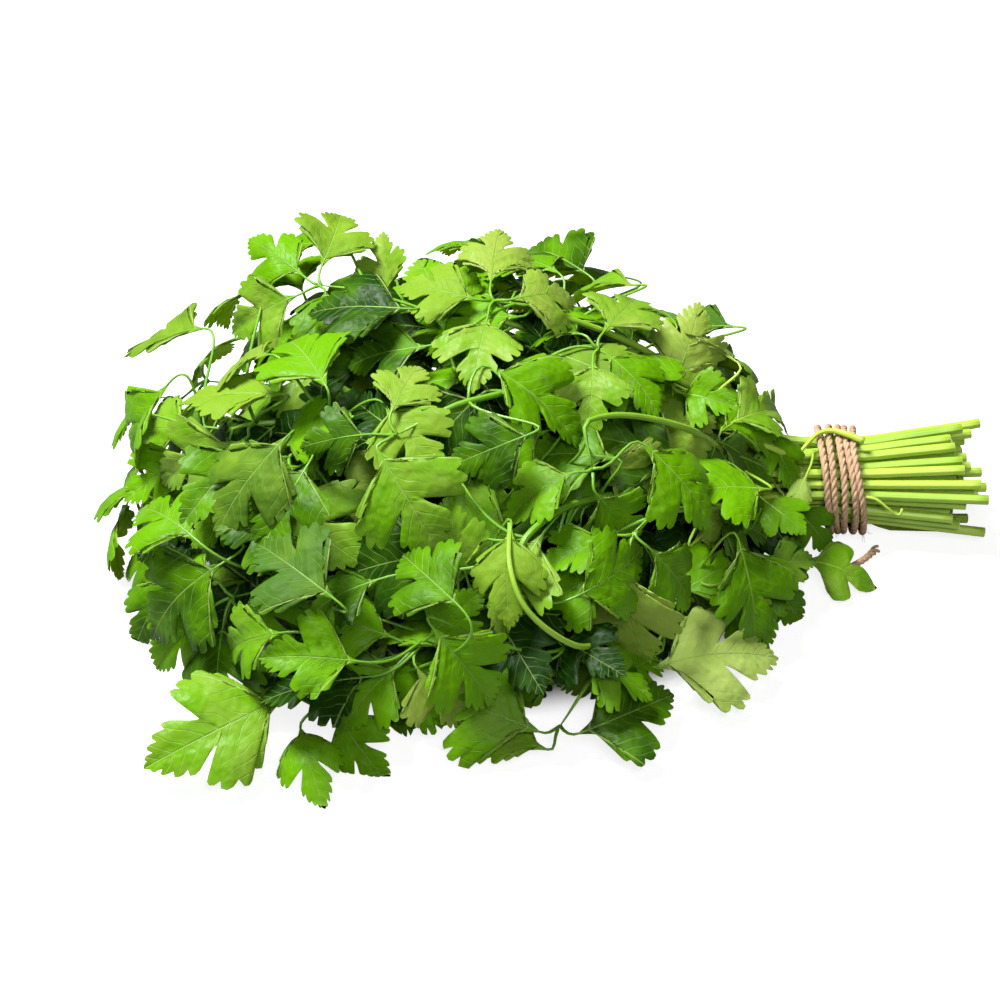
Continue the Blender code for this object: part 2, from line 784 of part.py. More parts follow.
def share_sides(leaflets, point, along, up, is_last):
    """Gives every leaflet at a hub its own side: left, top, right, below or the end."""
    left = up.cross(along)
    sides = {0: left, 1: up, 2: -left, 3: -up}
    if is_last:
        sides[END] = along
    wishes = []
    for leaflet in leaflets:
        run = (leaflet.root - point).normalized()
        for side, direction in sides.items():
            wishes.append((run.dot(direction), side, leaflet))
    wishes.sort(key=lambda wish: -wish[0])
    taken = {}
    served = []
    for _, side, leaflet in wishes:
        if side not in taken and leaflet not in served:
            taken[side] = leaflet
            served.append(leaflet)
    return taken


def wrap_point(angle):
    along = WRAP_PITCH * (angle / math.tau - WRAP_TURNS / 2) - WRAP_SLANT * math.cos(angle - math.pi)
    return Vector((along, -WRAP_RADIUS * math.sin(angle), TIE_HEIGHT - WRAP_RADIUS * math.cos(angle)))


def build_wrap():
    """The twine wound side by side round the stalks."""
    body = Body()
    near = None
    steps = WRAP_TURNS * WRAP_STEPS
    for step in range(steps + 1):
        angle = math.tau * step / WRAP_STEPS
        point = wrap_point(angle)
        along = (wrap_point(angle + 0.05) - wrap_point(angle - 0.05)).normalized()
        out = square_to(point - Vector((point.x, 0, TIE_HEIGHT)), along)
        far = body.ring(ring_points(point, along, out, TWINE_RADIUS, 6))
        near = join_run(body, near, far)
    body.close_end(near)
    return body


def principled(name, colour, roughness):
    material = bpy.data.materials.new(name)
    material.use_nodes = True
    shader = material.node_tree.nodes["Principled BSDF"]
    shader.inputs["Base Color"].default_value = (*colour, 1.0)
    shader.inputs["Roughness"].default_value = roughness
    return material


def add_mesh(name, body, material, shift):
    mesh = bpy.data.meshes.new(name)
    points = [(point + shift) * MILLIMETRE for point in body.points]
    mesh.from_pydata([tuple(point) for point in points], [], body.faces)
    mesh.materials.append(material)
    mesh.update()
    thing = bpy.data.objects.new(name, mesh)
    bpy.context.scene.collection.objects.link(thing)
    return thing


def add_tail(name, material, shift):
    """The loose end of the twine, a plain round cord along a smooth line."""
    curve = bpy.data.curves.new(name, "CURVE")
    curve.dimensions = "3D"
    curve.bevel_depth = TWINE_RADIUS * MILLIMETRE
    curve.bevel_resolution = 2
    curve.use_fill_caps = True
    route = smooth_route(TAIL_POINTS, TAIL_STEPS)
    spline = curve.splines.new("POLY")
    spline.points.add(len(route) - 1)
    for target, point in zip(spline.points, route):
        target.co = (*((point + shift) * MILLIMETRE), 1.0)
    curve.materials.append(material)
    thing = bpy.data.objects.new(name, curve)
    bpy.context.scene.collection.objects.link(thing)
    return thing


def smooth_route(points, steps):
    """A rounded line through the given points."""
    points = [Vector(point) for point in points]
    route = []
    for index in range(len(points) - 1):
        before = points[max(index - 1, 0)]
        here = points[index]
        after = points[index + 1]
        beyond = points[min(index + 2, len(points) - 1)]
        for step in range(steps):
            share = step / steps
            first = (after - before) * 0.5
            second = (beyond - here) * 0.5
            route.append(curve_point(here, here + first / 3, after - second / 3, after, share))
    route.append(points[-1])
    return route


def clear_scene():
    for thing in list(bpy.data.objects):
        bpy.data.objects.remove(thing, do_unlink=True)


def lay_out_bunch():
    stems, stalk_tubes = lay_out_stalks()
    placed = Placed()
    wrap = build_wrap()
    placed.add(wrap)
    for tube in stalk_tubes:
        placed.add(tube)
    placed.add(tail_guard())
    for stem in stems:
        if stem.hero_leaflets:
            place_hero_leaflets(stem, placed)
    for stem in stems:
        if not stem.hero_leaflets:
            place_plain_leaflets(stem, placed)
    for shell in SHELLS:
        fill_gaps(stems, placed, shell)
    return stems, wrap


def tail_guard():
    """A swollen copy of the loose end, to keep the leaflets off it."""
    body = Body()
    route = smooth_route(TAIL_POINTS, TAIL_STEPS)
    near = None
    for index, point in enumerate(route):
        before = route[max(index - 1, 0)]
        after = route[min(index + 1, len(route) - 1)]
        along = (after - before).normalized()
        up = square_to(Vector((0, 0, 1)), along)
        far = body.ring(ring_points(point, along, up, TWINE_RADIUS + CLEARANCE, 4))
        near = join_run(body, near, far)
    body.close_end(near)
    return body


def main():
    clear_scene()
    stems, wrap = lay_out_bunch()
    bodies = [(f"leafy_stem_{stem.number + 1:02d}", build_stem(stem)) for stem in stems]
    points = [point for _, body in bodies for point in body.points] + wrap.points
    low = Vector(min(point[axis] for point in points) for axis in range(3))
    high = Vector(max(point[axis] for point in points) for axis in range(3))
    shift = Vector((-(low.x + high.x) / 2, -(low.y + high.y) / 2, -low.z))
    green = principled("leafy_green", (0.10, 0.29, 0.02), 0.5)
    jute = principled("jute_twine", (0.45, 0.26, 0.11), 0.9)
    for name, body in bodies:
        add_mesh(name, body, green, shift)
    add_mesh("twine_wrap", wrap, jute, shift)
    add_tail("twine_tail", jute, shift)


main()
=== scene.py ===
"""A tied bunch of flat-leaf parsley lying on a white surface, dressed piece by piece on its frame.

Every leafy stem gets a round stalk, thin curved leaf stalks and lobed, toothed, veined leaflets.
More leaflets fill the gaps between them, and the tie gets twisted strands and loose fibres.
Lengths are in metres, apart from those that a comment gives in millimetres. A leaflet's own places
are along it, across it and above it, in shares of its length.
"""
import math
import random

import bmesh
import bpy
from mathutils import Matrix, Vector
from mathutils.bvhtree import BVHTree
from mathutils.geometry import interpolate_bezier


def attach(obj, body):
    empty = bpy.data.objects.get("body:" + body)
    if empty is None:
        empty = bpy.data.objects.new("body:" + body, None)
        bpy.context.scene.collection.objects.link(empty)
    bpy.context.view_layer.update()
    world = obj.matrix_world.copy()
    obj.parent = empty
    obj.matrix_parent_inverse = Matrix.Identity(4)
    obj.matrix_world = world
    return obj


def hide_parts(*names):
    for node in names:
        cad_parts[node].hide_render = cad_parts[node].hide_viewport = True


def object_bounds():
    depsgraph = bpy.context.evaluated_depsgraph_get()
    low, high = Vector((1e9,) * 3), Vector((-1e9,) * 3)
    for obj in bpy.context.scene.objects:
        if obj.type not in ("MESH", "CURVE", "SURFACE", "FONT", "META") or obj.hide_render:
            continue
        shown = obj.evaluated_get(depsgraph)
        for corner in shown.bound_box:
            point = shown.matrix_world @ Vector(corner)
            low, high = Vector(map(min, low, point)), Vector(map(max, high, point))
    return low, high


SEED = 11
MILLIMETRE = 0.001

# The photograph's view. Places in millimetres start at the floor under the middle of the tie
CAMERA_HEIGHT_ANGLE = 38.0
CAMERA_DISTANCE = 0.8
CAMERA_TARGET = (-120, -25, 30)
CAMERA_LENS = 84.67

# Lights: place, target, size of the square and power in watts, and the white light all round
LIGHTS = {
    "window": ((-0.42, 0.12, 1.0), (-0.05, 0, 0.03), 0.32, 29),
    "front_fill": ((0.1, -0.8, 0.9), (-0.05, 0, 0.03), 0.35, 6),
}
STUDIO_LIGHT = 0.03

# The white surface: its glow for the camera fades under the bunch
FLOOR_SIZE = 3.0
FLOOR_GREY = 0.34
FLOOR_GLOW = 0.84
FLOOR_SHADE_MIDDLE = (-0.025, -0.012, 0.0)
FLOOR_SHADE_REACH = (0.11, 0.066, 1.0)
FLOOR_SHADE_EDGE = (0.75, 1.0)

# The tie in millimetres: its middle over the floor, and the wrap's and the loose end's lines
TIE_HEIGHT = 19.6
WRAP_RADIUS = 18.3
WRAP_PITCH = 2.9
WRAP_SLANT = 3.0
TWINE_RADIUS = 1.25
TAIL_POINTS = ((-3, -17, 3.4), (-7, -24, 1.9), (-2, -28, 1.6), (6, -23, 1.6), (12, -17, 2.4))

# The lay of the twine: how long a strand's full twist is, and sizes in shares of its radius
WRAP_TURNS = 5
WRAP_STEPS_A_TURN = 120
WRAP_TWIST = 0.0085
TAIL_STEPS = 12
TAIL_TWIST = 0.0062
TAIL_FRAY = 0.6
FRAY_START = 0.82
TWINE_UP = Vector((0.1, 0.3, 1))
PLIES = 3
PLY_SIDES = 8
PLY_OFFSET = 0.46
PLY_RADIUS = 0.56
FIBRES = 170
FIBRE_REACH = (0.0015, 0.004)
FIBRE_RADII = (0.00007, 0.00006, 0.00004)
FIBRE_STEP = 0.001
FIBRE_SIDES = 3

# The frame's solids: the kind of a blade by the corners of its outline, its widest corner with the
# half width there, its thickness, and how far the corners of a stalk's ring stand out
BLADE_CORNERS = {17: 0, 13: 1, 9: 2}
WIDEST_CORNERS = {0: (4, 0.54), 1: (2, 0.52), 2: (2, 0.49)}
FRAME_BLADE = 0.9 * MILLIMETRE
BLADE_SLACK = 0.02 * MILLIMETRE
RING_SHARE = {4: 1.2, 6: 1.1}
RING_REACH = 0.005
SAME_PLACE = 0.003
RUN_STEP = 0.004

# Stalks: round, a little ridged, with a cut face inside a rounded rim
LEAST_HEIGHT = 0.0004
STALK_SIDES = 12
STALK_RIDGE = 0.015
STALK_RIDGES = 6
TUBE_UP = Vector((0.1, 0.2, 1))
CUT_RADIUS = 0.86
CUT_BULGE = 0.1
CUT_DEPTH = 0.066
# Painted shade: a stalk keeps its paler tone near the tie and is darkened towards the leaves,
# where they shade it
PALE_REACH = 0.02
LEAF_SHADE_ON_STALKS_REACH = 0.08
LEAF_SHADE_ON_STALKS = 0.6
# Past the tie the cut ends fan out, and the other end of a stalk is thinner
TIE_HALF = 0.008
LEAFLESS = 0.028
FAN_SPREAD = 0.28
FAN_REACH = 0.05
END_SHARE = 0.3
TAPER_REACH = 0.03
# A leaf's stalk runs on as the midrib under its blade
LEAF_STALK_SIDES = 6
LEAF_STALK_RADII = (0.00062, 0.00040)
LEAF_STALK_STEP = 0.0024
MIDRIB_STEPS = 5
MIDRIB_STEP = 0.13
MIDRIB_SUNK = 0.0001
MIDRIB_RADIUS = 0.00038
MIDRIB_THINNING = 0.00005

# Added leaflets: how many, and how far they may be from the model leaf, turned, tilted and sized
FILL_LEAFLETS = 230
FILL_TRIES = 9000
FILL_GAP = 0.0095
FILL_DEPTHS = (0.005, 0.030)
FILL_SHIFT = 0.022
FILL_TILT = 0.45
FILL_TURN = 1.2
FILL_LENGTHS = (0.024, 0.034)
FILL_WIDTHS = (0.85, 1.08)
FILL_KINDS = (0, 1, 1, 2)
FILL_NEAR = 0.038
# Painted shade: how much an added leaflet's tone is lowered for each metre it lies under the model
# leaf
DEPTH_SHADE = 32
LONGEST_STALK = 0.045

# Leaflets: the three kinds of the frame and a rounded one, each in variants with their own teeth
VARIANTS = 4
BLUNTNESS = (0, 0, 1, 1)
ROUNDED = 3
ROUNDED_BLUNTNESS = 10
SLIT_CLOSED = (0.0, 0.12, 0.3, -0.1)
TOOTH_SHIFT = 0.009
TOOTH_RELIEF = 0.14
TOOTH_NEIGHBOURS = 4
WAVE_HEIGHT = 0.024
BULGE_HEIGHT = 0.038
BLADE_THICKNESS = 0.007
BLADE_CENTRE = 0.42
MIDDLE_RISE = 0.03
BASE_DROP = 0.17
TIP_DROP = 0.45
SIDE_DROP = 0.5
TURNED_OVER_SHARE = 0.12
TURNED_OVER_TONE = 0.6

# The corners of a leaflet's plain copy, with its middle last
SKETCH_CORNERS = ((0, 0, 0), (0.35, -0.42, -0.04), (0.7, -0.36, -0.08), (1, 0, -0.12),
                  (0.7, 0.36, -0.08), (0.35, 0.42, -0.04), (0.42, 0, 0.03))
# Places of a leaflet that have to lie in the foliage
EXTREMES = ((0, 0, 0), (1, 0, -0.1), (0.5, 0.45, 0), (0.5, -0.45, 0))

# Half of a leaflet's edge from the root to the tip, with its lobes and teeth: along and across
SIDE_LOBE = (
    (0.0, 0.012), (0.10, 0.05), (0.20, 0.115), (0.285, 0.19), (0.275, 0.245), (0.29, 0.30),
    (0.33, 0.315), (0.359, 0.27), (0.36, 0.35), (0.375, 0.41), (0.41, 0.445), (0.45, 0.435),
    (0.46, 0.365), (0.485, 0.455), (0.51, 0.505), (0.55, 0.525), (0.595, 0.51), (0.588, 0.42),
    (0.65, 0.475), (0.695, 0.475), (0.725, 0.44), (0.683, 0.358), (0.745, 0.385), (0.775, 0.36),
    (0.775, 0.32), (0.725, 0.275), (0.67, 0.225), (0.62, 0.178),
)
NOTCH = ((0.588, 0.15), (0.58, 0.138), (0.60, 0.142))
MIDDLE_LOBE = (
    (0.65, 0.175), (0.705, 0.225), (0.755, 0.27), (0.795, 0.285), (0.83, 0.265), (0.805, 0.193),
    (0.86, 0.225), (0.895, 0.222), (0.92, 0.20), (0.889, 0.138), (0.935, 0.16), (0.965, 0.15),
    (0.975, 0.12), (0.94, 0.079), (0.985, 0.09), (1.01, 0.08), (1.02, 0.055), (1.005, 0.035),
    (1.025, 0.03), (1.04, 0.015), (1.045, 0.0),
)
SLIT = range(len(SIDE_LOBE) - 4, len(SIDE_LOBE) + len(NOTCH) + 3)
SLIT_MOUTH = Vector((0.768, 0.305))
LEAF_EDGE = SIDE_LOBE + NOTCH + MIDDLE_LOBE
ROW_SHARES = (0.0, 0.4, 0.75, 1.0)

# Leaves that show plainly, given in millimetres: root, tip, roll in degrees, width, tone,
# and whether the pale side shows
SHOWN_FACING = Vector((0.0, -0.6, 0.8))
# Their tones are partly each leaf's own green and partly painted light and shade: low for leaves
# in shadow, high for lit ones
SHOWN_LEAVES = (
    ((-61, -7, 66), (-52, 6, 88), 10, 0.95, 1.0, False),
    ((-62, -10, 67), (-40, -4, 66), -10, 0.9, 0.6, True),
    ((-74, -42, 64), (-45, -22, 67), 0, 0.7, 0.9, False),
    ((-46, -21, 56), (-28, 2, 53), 10, 0.95, 0.6, False),
    ((-32, -8, 47), (-23, 10, 52), 40, 0.6, 0.5, True),
    ((-30, -6, 46), (-19, -22, 34), -20, 0.95, 0.4, False),
    ((-48, -26, 56), (-29, -26, 45), -25, 1.0, 0.0, True),
    ((-48, -27, 56), (-54, -43, 50), -15, 0.9, 0.0, True),
    ((-15, -18, 37), (-22, -31, 27), 30, 0.5, 0.8, True),
    ((-51, -51, 42), (-29, -50, 36), -10, 1.1, 0.1, True),
    ((-58, -64, 42), (-40, -42, 45), 35, 0.6, 0.9, False),
    ((-20, -21, 25), (-6, -27, 10), 0, 0.9, 0.2, False),
    ((-50, -70, 30), (-28, -57, 24), 0, 0.9, 0.7, True),
    ((-38, -46, 23), (-17, -60, 8), 0, 1.0, 0.3, False),
    ((-45, -26, 53), (-34, -44, 36), -15, 1.0, 0.2, False),
    ((-62, -70, 26), (-40, -58, 34), -10, 1.0, 0.5, False),
    ((-190, -48, 70), (-168, -52, 84), -20, 1.0, 0.6, False),
    ((-237, -19, 62), (-254, -1, 52), 20, 0.9, 0.5, False),
    ((-38, -24, 23), (-20, -44, 16), 0, 0.95, 0.1, False),
)

# The foliage's outline in the photograph, in its pixels: added leaves stay inside it
PHOTO_WIDTH = 1000
FOLIAGE_OUTLINE = (
    (815, 440), (778, 400), (740, 376), (724, 346), (690, 318), (655, 312), (600, 308), (556, 302),
    (530, 262), (486, 236), (440, 250), (400, 270), (345, 258), (322, 300), (268, 322), (240, 352),
    (226, 420), (172, 452), (128, 452), (118, 505), (136, 560), (142, 625), (186, 690), (190, 722),
    (160, 780), (152, 830), (236, 826), (268, 780), (306, 800), (318, 744), (366, 736), (412, 742),
    (430, 778), (500, 778), (545, 738), (590, 736), (612, 766), (652, 758), (672, 700), (720, 688),
    (762, 640), (800, 628), (812, 560),
)

# Leaves of the frame that show plainly: place in the photo, tone, and whether the pale side shows
# Their tones are partly the leaves' own greens and partly painted light and shade: low for leaves
# in shadow, high for lit ones
SEEN_LEAVES = (
    ((700, 650), 0.9, True), ((628, 625), 0.95, False), ((665, 575), 0.35, False),
    ((310, 510), 0.75, False), ((180, 462), 0.8, False), ((385, 495), 0.75, True),
    ((400, 640), 0.5, False), ((460, 720), 0.15, True), ((625, 722), 0.2, False),
    ((215, 735), 0.7, False), ((300, 765), 0.6, False), ((400, 375), 0.9, False),
    ((455, 355), 0.8, False), ((365, 290), 0.1, False), ((485, 255), 1.0, False),
    ((640, 335), 0.9, False), ((700, 350), 1.0, False), ((690, 420), 0.85, False),
    ((740, 450), 0.0, False), ((530, 560), 0.8, False), ((385, 560), 0.1, False),
    ((450, 480), 0.7, False), ((290, 430), 0.6, False), ((215, 670), 0.2, False),
    ((560, 480), 0.6, False), ((640, 490), 0.9, False), ((600, 420), 0.3, False),
    ((545, 400), 0.4, False), ((330, 600), 0.2, False), ((250, 600), 0.45, False),
)
SEEN_REACH = 24
# The leaf nearest to this place gets rounded lobes
ROUNDED_LEAF = (843, 575)
ROUNDED_TONE = 0.7

# Bare stalks in millimetres, by the stem that has them: radii at the start and end, and places
BARE_STALKS = {
    "leafy_stem_17": (0.8, 1.1, ((-119, -70, 54), (-117, -84, 67), (-117, -102, 65),
                                 (-113, -111, 57), (-104, -113, 47), (-94, -108, 37),
                                 (-86, -94, 30), (-80, -80, 26))),
    "leafy_stem_39": (0.5, 1.3, ((-20, -10, 34), (-15, -6, 38.6), (-10, -1, 40.4),
                                 (-5, 0.5, 40.5), (0, -1.5, 40.3), (5.5, -4, 39.4))),
    "leafy_stem_10": (0.6, 0.4, ((4, -16.5, 25), (9, -18, 25), (14, -19.5, 21.5),
                                 (17.5, -19.5, 19), (18.5, -19, 21.5))),
}
BARE_STALK_SIDES = 8
BARE_STALK_STEP = 0.0015

# Places of the materials on a leafy stem's piece
STALK, CUT, UPPER, UNDER = range(4)

# Colours. A blade goes from dark to light with its tone, which holds painted shade and painted
# light as well as its own green, and lets some light through
WHITE = (1, 1, 1, 1)
LEAF_UPPER = {
    "dark": (0.009, 0.045, 0.002, 1), "middle": (0.13, 0.35, 0.001, 1),
    "light": (0.29, 0.39, 0.060, 1), "vein_colour": (0.36, 0.50, 0.13, 1),
    "vein_share": 0.65, "roughness": 0.40,
}
LEAF_UNDER = {
    "dark": (0.06, 0.16, 0.012, 1), "middle": (0.20, 0.35, 0.02, 1),
    "light": (0.44, 0.57, 0.14, 1), "vein_colour": (0.38, 0.54, 0.13, 1),
    "vein_share": 0.5, "roughness": 0.56,
}
LEAF_GLOW = (0.50, 0.68, 0.002, 1)
# Painted shade: blades with a low tone, deep in the foliage or in shadow, let through a dimmer
# green
SHADE_DIMMED_GLOW = (0.125, 0.17, 0.0005, 1)
GLOW_SHARE = 0.34
STALK_DARK = (0.10, 0.28, 0.008, 1)
STALK_PALE = (0.40, 0.58, 0.05, 1)
STALK_RIDGE_COLOUR = (0.50, 0.70, 0.13, 1)
CUT_DARK = (0.50, 0.62, 0.28, 1)
CUT_PALE = (0.75, 0.82, 0.50, 1)
JUTE_DARK = (0.26, 0.15, 0.08, 1)
JUTE_MIDDLE = (0.52, 0.33, 0.19, 1)
JUTE_PALE = (0.68, 0.46, 0.29, 1)
FIBRE_STRETCH = (9.0, 160.0, 1.0)

# Veins: where the side ribs start and head, the step between their branches, and their depth
SIDE_RIB_START = 0.09
SIDE_RIB_AXIS = (0.37, 0.54, 0.0)
BRANCH_STEP = 0.11
VEIN_DEPTH = 0.45


def from_tie(place):
    """A place given in millimetres from the floor under the middle of the tie."""
    x, y, z = place
    return TIE + Vector((x, y, z - TIE_HEIGHT)) * MILLIMETRE


def clamped(value):
    return min(1.0, max(0.0, value))


def square_to(vector, direction):
    """The part of a vector that is square to a direction, made one unit long."""
    return (vector - direction * vector.dot(direction)).normalized()


def average(points):
    points = list(points)
    return sum(points, Vector()) / len(points)


class Leaflet:
    """Where one blade lies: its root, axes, length, width and kind, and where its stalk starts."""

    def __init__(self, root, along, normal, length, width, kind, depth=0.0):
        self.root = root
        self.along = along
        self.normal = normal
        self.across = normal.cross(along)
        self.length = length
        self.width = width
        self.kind = kind
        self.hub = None
        # Painted shade taken off the tone of a blade that lies deep in the foliage
        self.depth = depth
        self.shown = None

    def place(self, along, across, height):
        return (self.root + self.along * (along * self.length)
                + self.across * (across * self.length * self.width)
                + self.normal * (height * self.length))

    def middle(self):
        return self.place(0.5, 0.0, 0.0)

    def sketch(self):
        """A plain copy with few corners, to find what the blade would cross."""
        corners = [self.place(*shares) for shares in SKETCH_CORNERS]
        middle = len(corners) - 1
        sides = [(middle, side, (side + 1) % middle) for side in range(middle)]
        return BVHTree.FromPolygons(corners, sides)


def read_leaflet(top, under):
    """A leaflet of the frame, from the middles of the two sides of its blade."""
    outline = walk_round(top)
    other = walk_round(under)
    kind = BLADE_CORNERS[len(outline)]
    half = (top.co - under.co) / 2
    normal = half.normalized()
    root_corners = (outline[0], outline[-1], other[0], other[-1])
    root = average(corner.co for corner in root_corners)
    tip = outline[len(outline) // 2].co - half
    along = square_to(tip - root, normal)
    length = (tip - root).dot(along)
    widest, share = WIDEST_CORNERS[kind]
    reach = abs((outline[widest].co - half - root).dot(normal.cross(along)))
    leaflet = Leaflet(root, along, normal, length, reach / (share * length), kind)
    leaflet.corners = outline + other + [top, under]
    leaflet.root_corners = root_corners
    return leaflet


def walk_round(centre):
    """The corners round a blade's middle, from one side of the root round the tip to the other."""
    following = {}
    for face in centre.link_faces:
        corners = list(face.verts)
        place = corners.index(centre)
        following[corners[(place + 1) % 3]] = corners[(place + 2) % 3]
    start = min(following, key=lambda corner: (corner.co - following[corner].co).length)
    ring = [following[start]]
    while ring[-1] is not start:
        ring.append(following[ring[-1]])
    return ring


def find_leaflets(mesh):
    """Pairs the middles of the upper and lower sides of every blade."""
    middles = [corner for corner in mesh.verts if len(corner.link_faces) in BLADE_CORNERS]
    leaflets = []
    for number, first in enumerate(middles):
        for second in middles[number + 1:]:
            if abs((first.co - second.co).length - FRAME_BLADE) > BLADE_SLACK:
                continue
            if len(first.link_faces) != len(second.link_faces):
                continue
            outward = (first.co - second.co).normalized()
            droop = (average(corner.co for corner in walk_round(first)) - first.co).dot(outward)
            pair = (first, second) if droop < 0 else (second, first)
            leaflets.append(read_leaflet(*pair))
    return leaflets


def find_rings(mesh, leaflets):
    """The stalk's rings of corners, from the cut end on."""
    taken = {corner for leaflet in leaflets for corner in leaflet.corners}
    free = [corner for corner in mesh.verts if corner not in taken]
    outermost = max(free, key=lambda corner: corner.co.x)
    ring = [corner for corner in free if (corner.co - outermost.co).length < RING_REACH]
    seen = set(ring) | taken
    rings = []
    while ring:
        rings.append(ring)
        beside = {edge.other_vert(corner) for corner in ring for edge in corner.link_edges}
        ring = sorted(beside - seen, key=place_of)
        seen.update(ring)
    return rings


def place_of(corner):
    """Sorts the corners of a set, which come in another order each run."""
    return tuple(corner.co)


class Stem:
    """One leafy stem as the frame has it: the run of its stalk and its leaflets."""

    def __init__(self, name):
        self.name = name
        mesh = bmesh.new()
        mesh.from_mesh(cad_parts[name].data)
        bmesh.ops.remove_doubles(mesh, verts=mesh.verts, dist=1e-6)
        self.leaflets = find_leaflets(mesh)
        rings = find_rings(mesh, self.leaflets)
        centres = [average(corner.co for corner in ring) for ring in rings]
        self.tie = (centres[2] + centres[3]) / 2
        self.run = smooth_run(*merged(rings, centres), RUN_STEP)
        hub_of = {corner: centre for ring, centre in zip(rings, centres) for corner in ring}
        for leaflet in self.leaflets:
            beside = {edge.other_vert(corner) for corner in leaflet.root_corners
                      for edge in corner.link_edges}
            leaflet.hub = average(hub_of[corner] for corner in sorted(beside, key=place_of)
                                  if corner in hub_of)
            leaflet.root_corners = leaflet.corners = ()
        mesh.free()

    def nearest(self, place):
        """Which point of the stalk's run is nearest to a place."""
        return min(range(len(self.run)), key=lambda index: (self.run[index][0] - place).length)

    def direction(self, index):
        before = self.run[max(index - 1, 0)][0]
        after = self.run[min(index + 1, len(self.run) - 1)][0]
        return (after - before).normalized()


def merged(rings, centres):
    """The middles and radii of a stalk's rings, with rings that are close together made one."""
    points = []
    radii = []
    for ring, centre in zip(rings, centres):
        if points and (centre - points[-1]).length < SAME_PLACE:
            points[-1] = (centre + points[-1]) / 2
        else:
            points.append(centre)
            radii.append((ring[0].co - centre).length / RING_SHARE.get(len(ring), 1.0))
    return points, radii


def headings(points):
    """The direction of a line of points at each of them."""
    last = len(points) - 1
    return [(points[min(index + 1, last)] - points[max(index - 1, 0)]).normalized()
            for index in range(last + 1)]


def ups_along(directions, first):
    """An up for each direction, square to it and turned as little as it can be."""
    ups = []
    for direction in directions:
        ups.append(square_to(ups[-1] if ups else first, direction))
    return ups


def smooth_run(points, radii, step):
    """A rounded line through the points, with the radius at each of its own points."""
    tangents = headings(points)
    run = []
    for index in range(len(points) - 1):
        here, after = points[index], points[index + 1]
        pull = (after - here).length / 3
        count = max(2, round((after - here).length / step))
        line = interpolate_bezier(here, here + tangents[index] * pull,
                                  after - tangents[index + 1] * pull, after, count + 1)
        for number in range(count):
            share = number / count
            run.append((line[number], radii[index] * (1 - share) + radii[index + 1] * share))
    run.append((points[-1], radii[-1]))
    return run


def add_grid(mesh, columns, rows, place):
    """A sheet of columns by rows whose corners are moved to place(column share, row share)."""
    made = bmesh.ops.create_grid(mesh, x_segments=columns, y_segments=rows, size=0.5,
                                 calc_uvs=True)["verts"]
    for corner in made:
        corner.co = place(corner.co.x + 0.5, corner.co.y + 0.5)
    return made


def add_tube(mesh, run, sides, material, cut_material=None, ridge=0.0, tone=0.5):
    """A closed tube along a run of places and radii; its start may show a cut face."""
    directions = headings([centre for centre, _ in run])
    ups = ups_along(directions, TUBE_UP)
    sections = [(0, 0.0), (0, CUT_RADIUS)] + [(index, 1.0) for index in range(len(run))]
    sections += [(len(run) - 1, 0.0)]
    last = len(sections) - 1

    def place(round_share, long_share):
        index, grown = sections[round(long_share * last)]
        centre, radius = run[index]
        angle = round_share * math.tau
        radius *= grown * (1 + ridge * math.cos(STALK_RIDGES * angle))
        up = ups[index]
        side = directions[index].cross(up)
        point = centre + (up * math.cos(angle) + side * math.sin(angle)) * radius
        if grown == 1.0 and index == 0:
            point += directions[0] * radius * CUT_BULGE
        return point

    made = add_grid(mesh, sides, last, place)
    faces = {face for corner in made for face in corner.link_faces}
    for face in faces:
        face.smooth = True
        depth = (face.calc_center_median() - run[0][0]).dot(directions[0])
        is_cut = cut_material is not None and depth < run[0][1] * CUT_DEPTH
        face.material_index = cut_material if is_cut else material
    tone_layer = mesh.verts.layers.float["tone"]
    # Painted shade: past the tie, towards the leaves, the tone is lowered where the foliage shades
    # the stalks
    for corner in made:
        away = (TIE.x - PALE_REACH - corner.co.x) / LEAF_SHADE_ON_STALKS_REACH
        corner[tone_layer] = tone - LEAF_SHADE_ON_STALKS * clamped(away)
    bmesh.ops.remove_doubles(mesh, verts=made, dist=1e-7)
    faces = [face for face in faces if face.is_valid]
    bmesh.ops.recalc_face_normals(mesh, faces=faces)


def leaf_height(along, across):
    """How high the blade's face stands over its root plane: it arches down to tip and sides."""
    back = along - BLADE_CENTRE
    lengthwise = BASE_DROP if back < 0 else TIP_DROP
    return MIDDLE_RISE - lengthwise * back * back - SIDE_DROP * across * across


def edge_side(source, shallow, blunt):
    """One side of a leaflet's edge, with its own lobe angle, lobe size, cut and teeth."""
    turn = source.uniform(0.04, 0.30)
    grown = source.uniform(0.94, 1.05)
    closed = source.uniform(-0.3, 0.15) + shallow
    stretch = source.uniform(0.86, 1.0)
    pivot = Vector((0.15, 0.0))
    turning = Matrix.Rotation(turn, 2)
    side = []
    for index, (along, across) in enumerate(LEAF_EDGE):
        point = Vector((along, across * 0.92))
        in_lobe = index < len(SIDE_LOBE)
        if in_lobe and index > 2:
            swung = pivot + turning @ ((point - pivot) * grown)
            share = min(1.0, (index - 2) / 4, (len(SIDE_LOBE) - index) / 4)
            point = point.lerp(swung, share)
        elif not in_lobe and index >= len(SIDE_LOBE) + len(NOTCH):
            point.y *= stretch
        if index in SLIT:
            point = point.lerp(SLIT_MOUTH, closed)
        elif 2 < index < len(LEAF_EDGE) - 1:
            point += Vector(source.uniform(-TOOTH_SHIFT, TOOTH_SHIFT) for _ in range(2))
        side.append(point)
    for _ in range(blunt):
        inner = [(before + 6 * point + after) / 8
                 for before, point, after in zip(side, side[1:], side[2:])]
        side = [side[0]] + inner + [side[-1]]
    return side


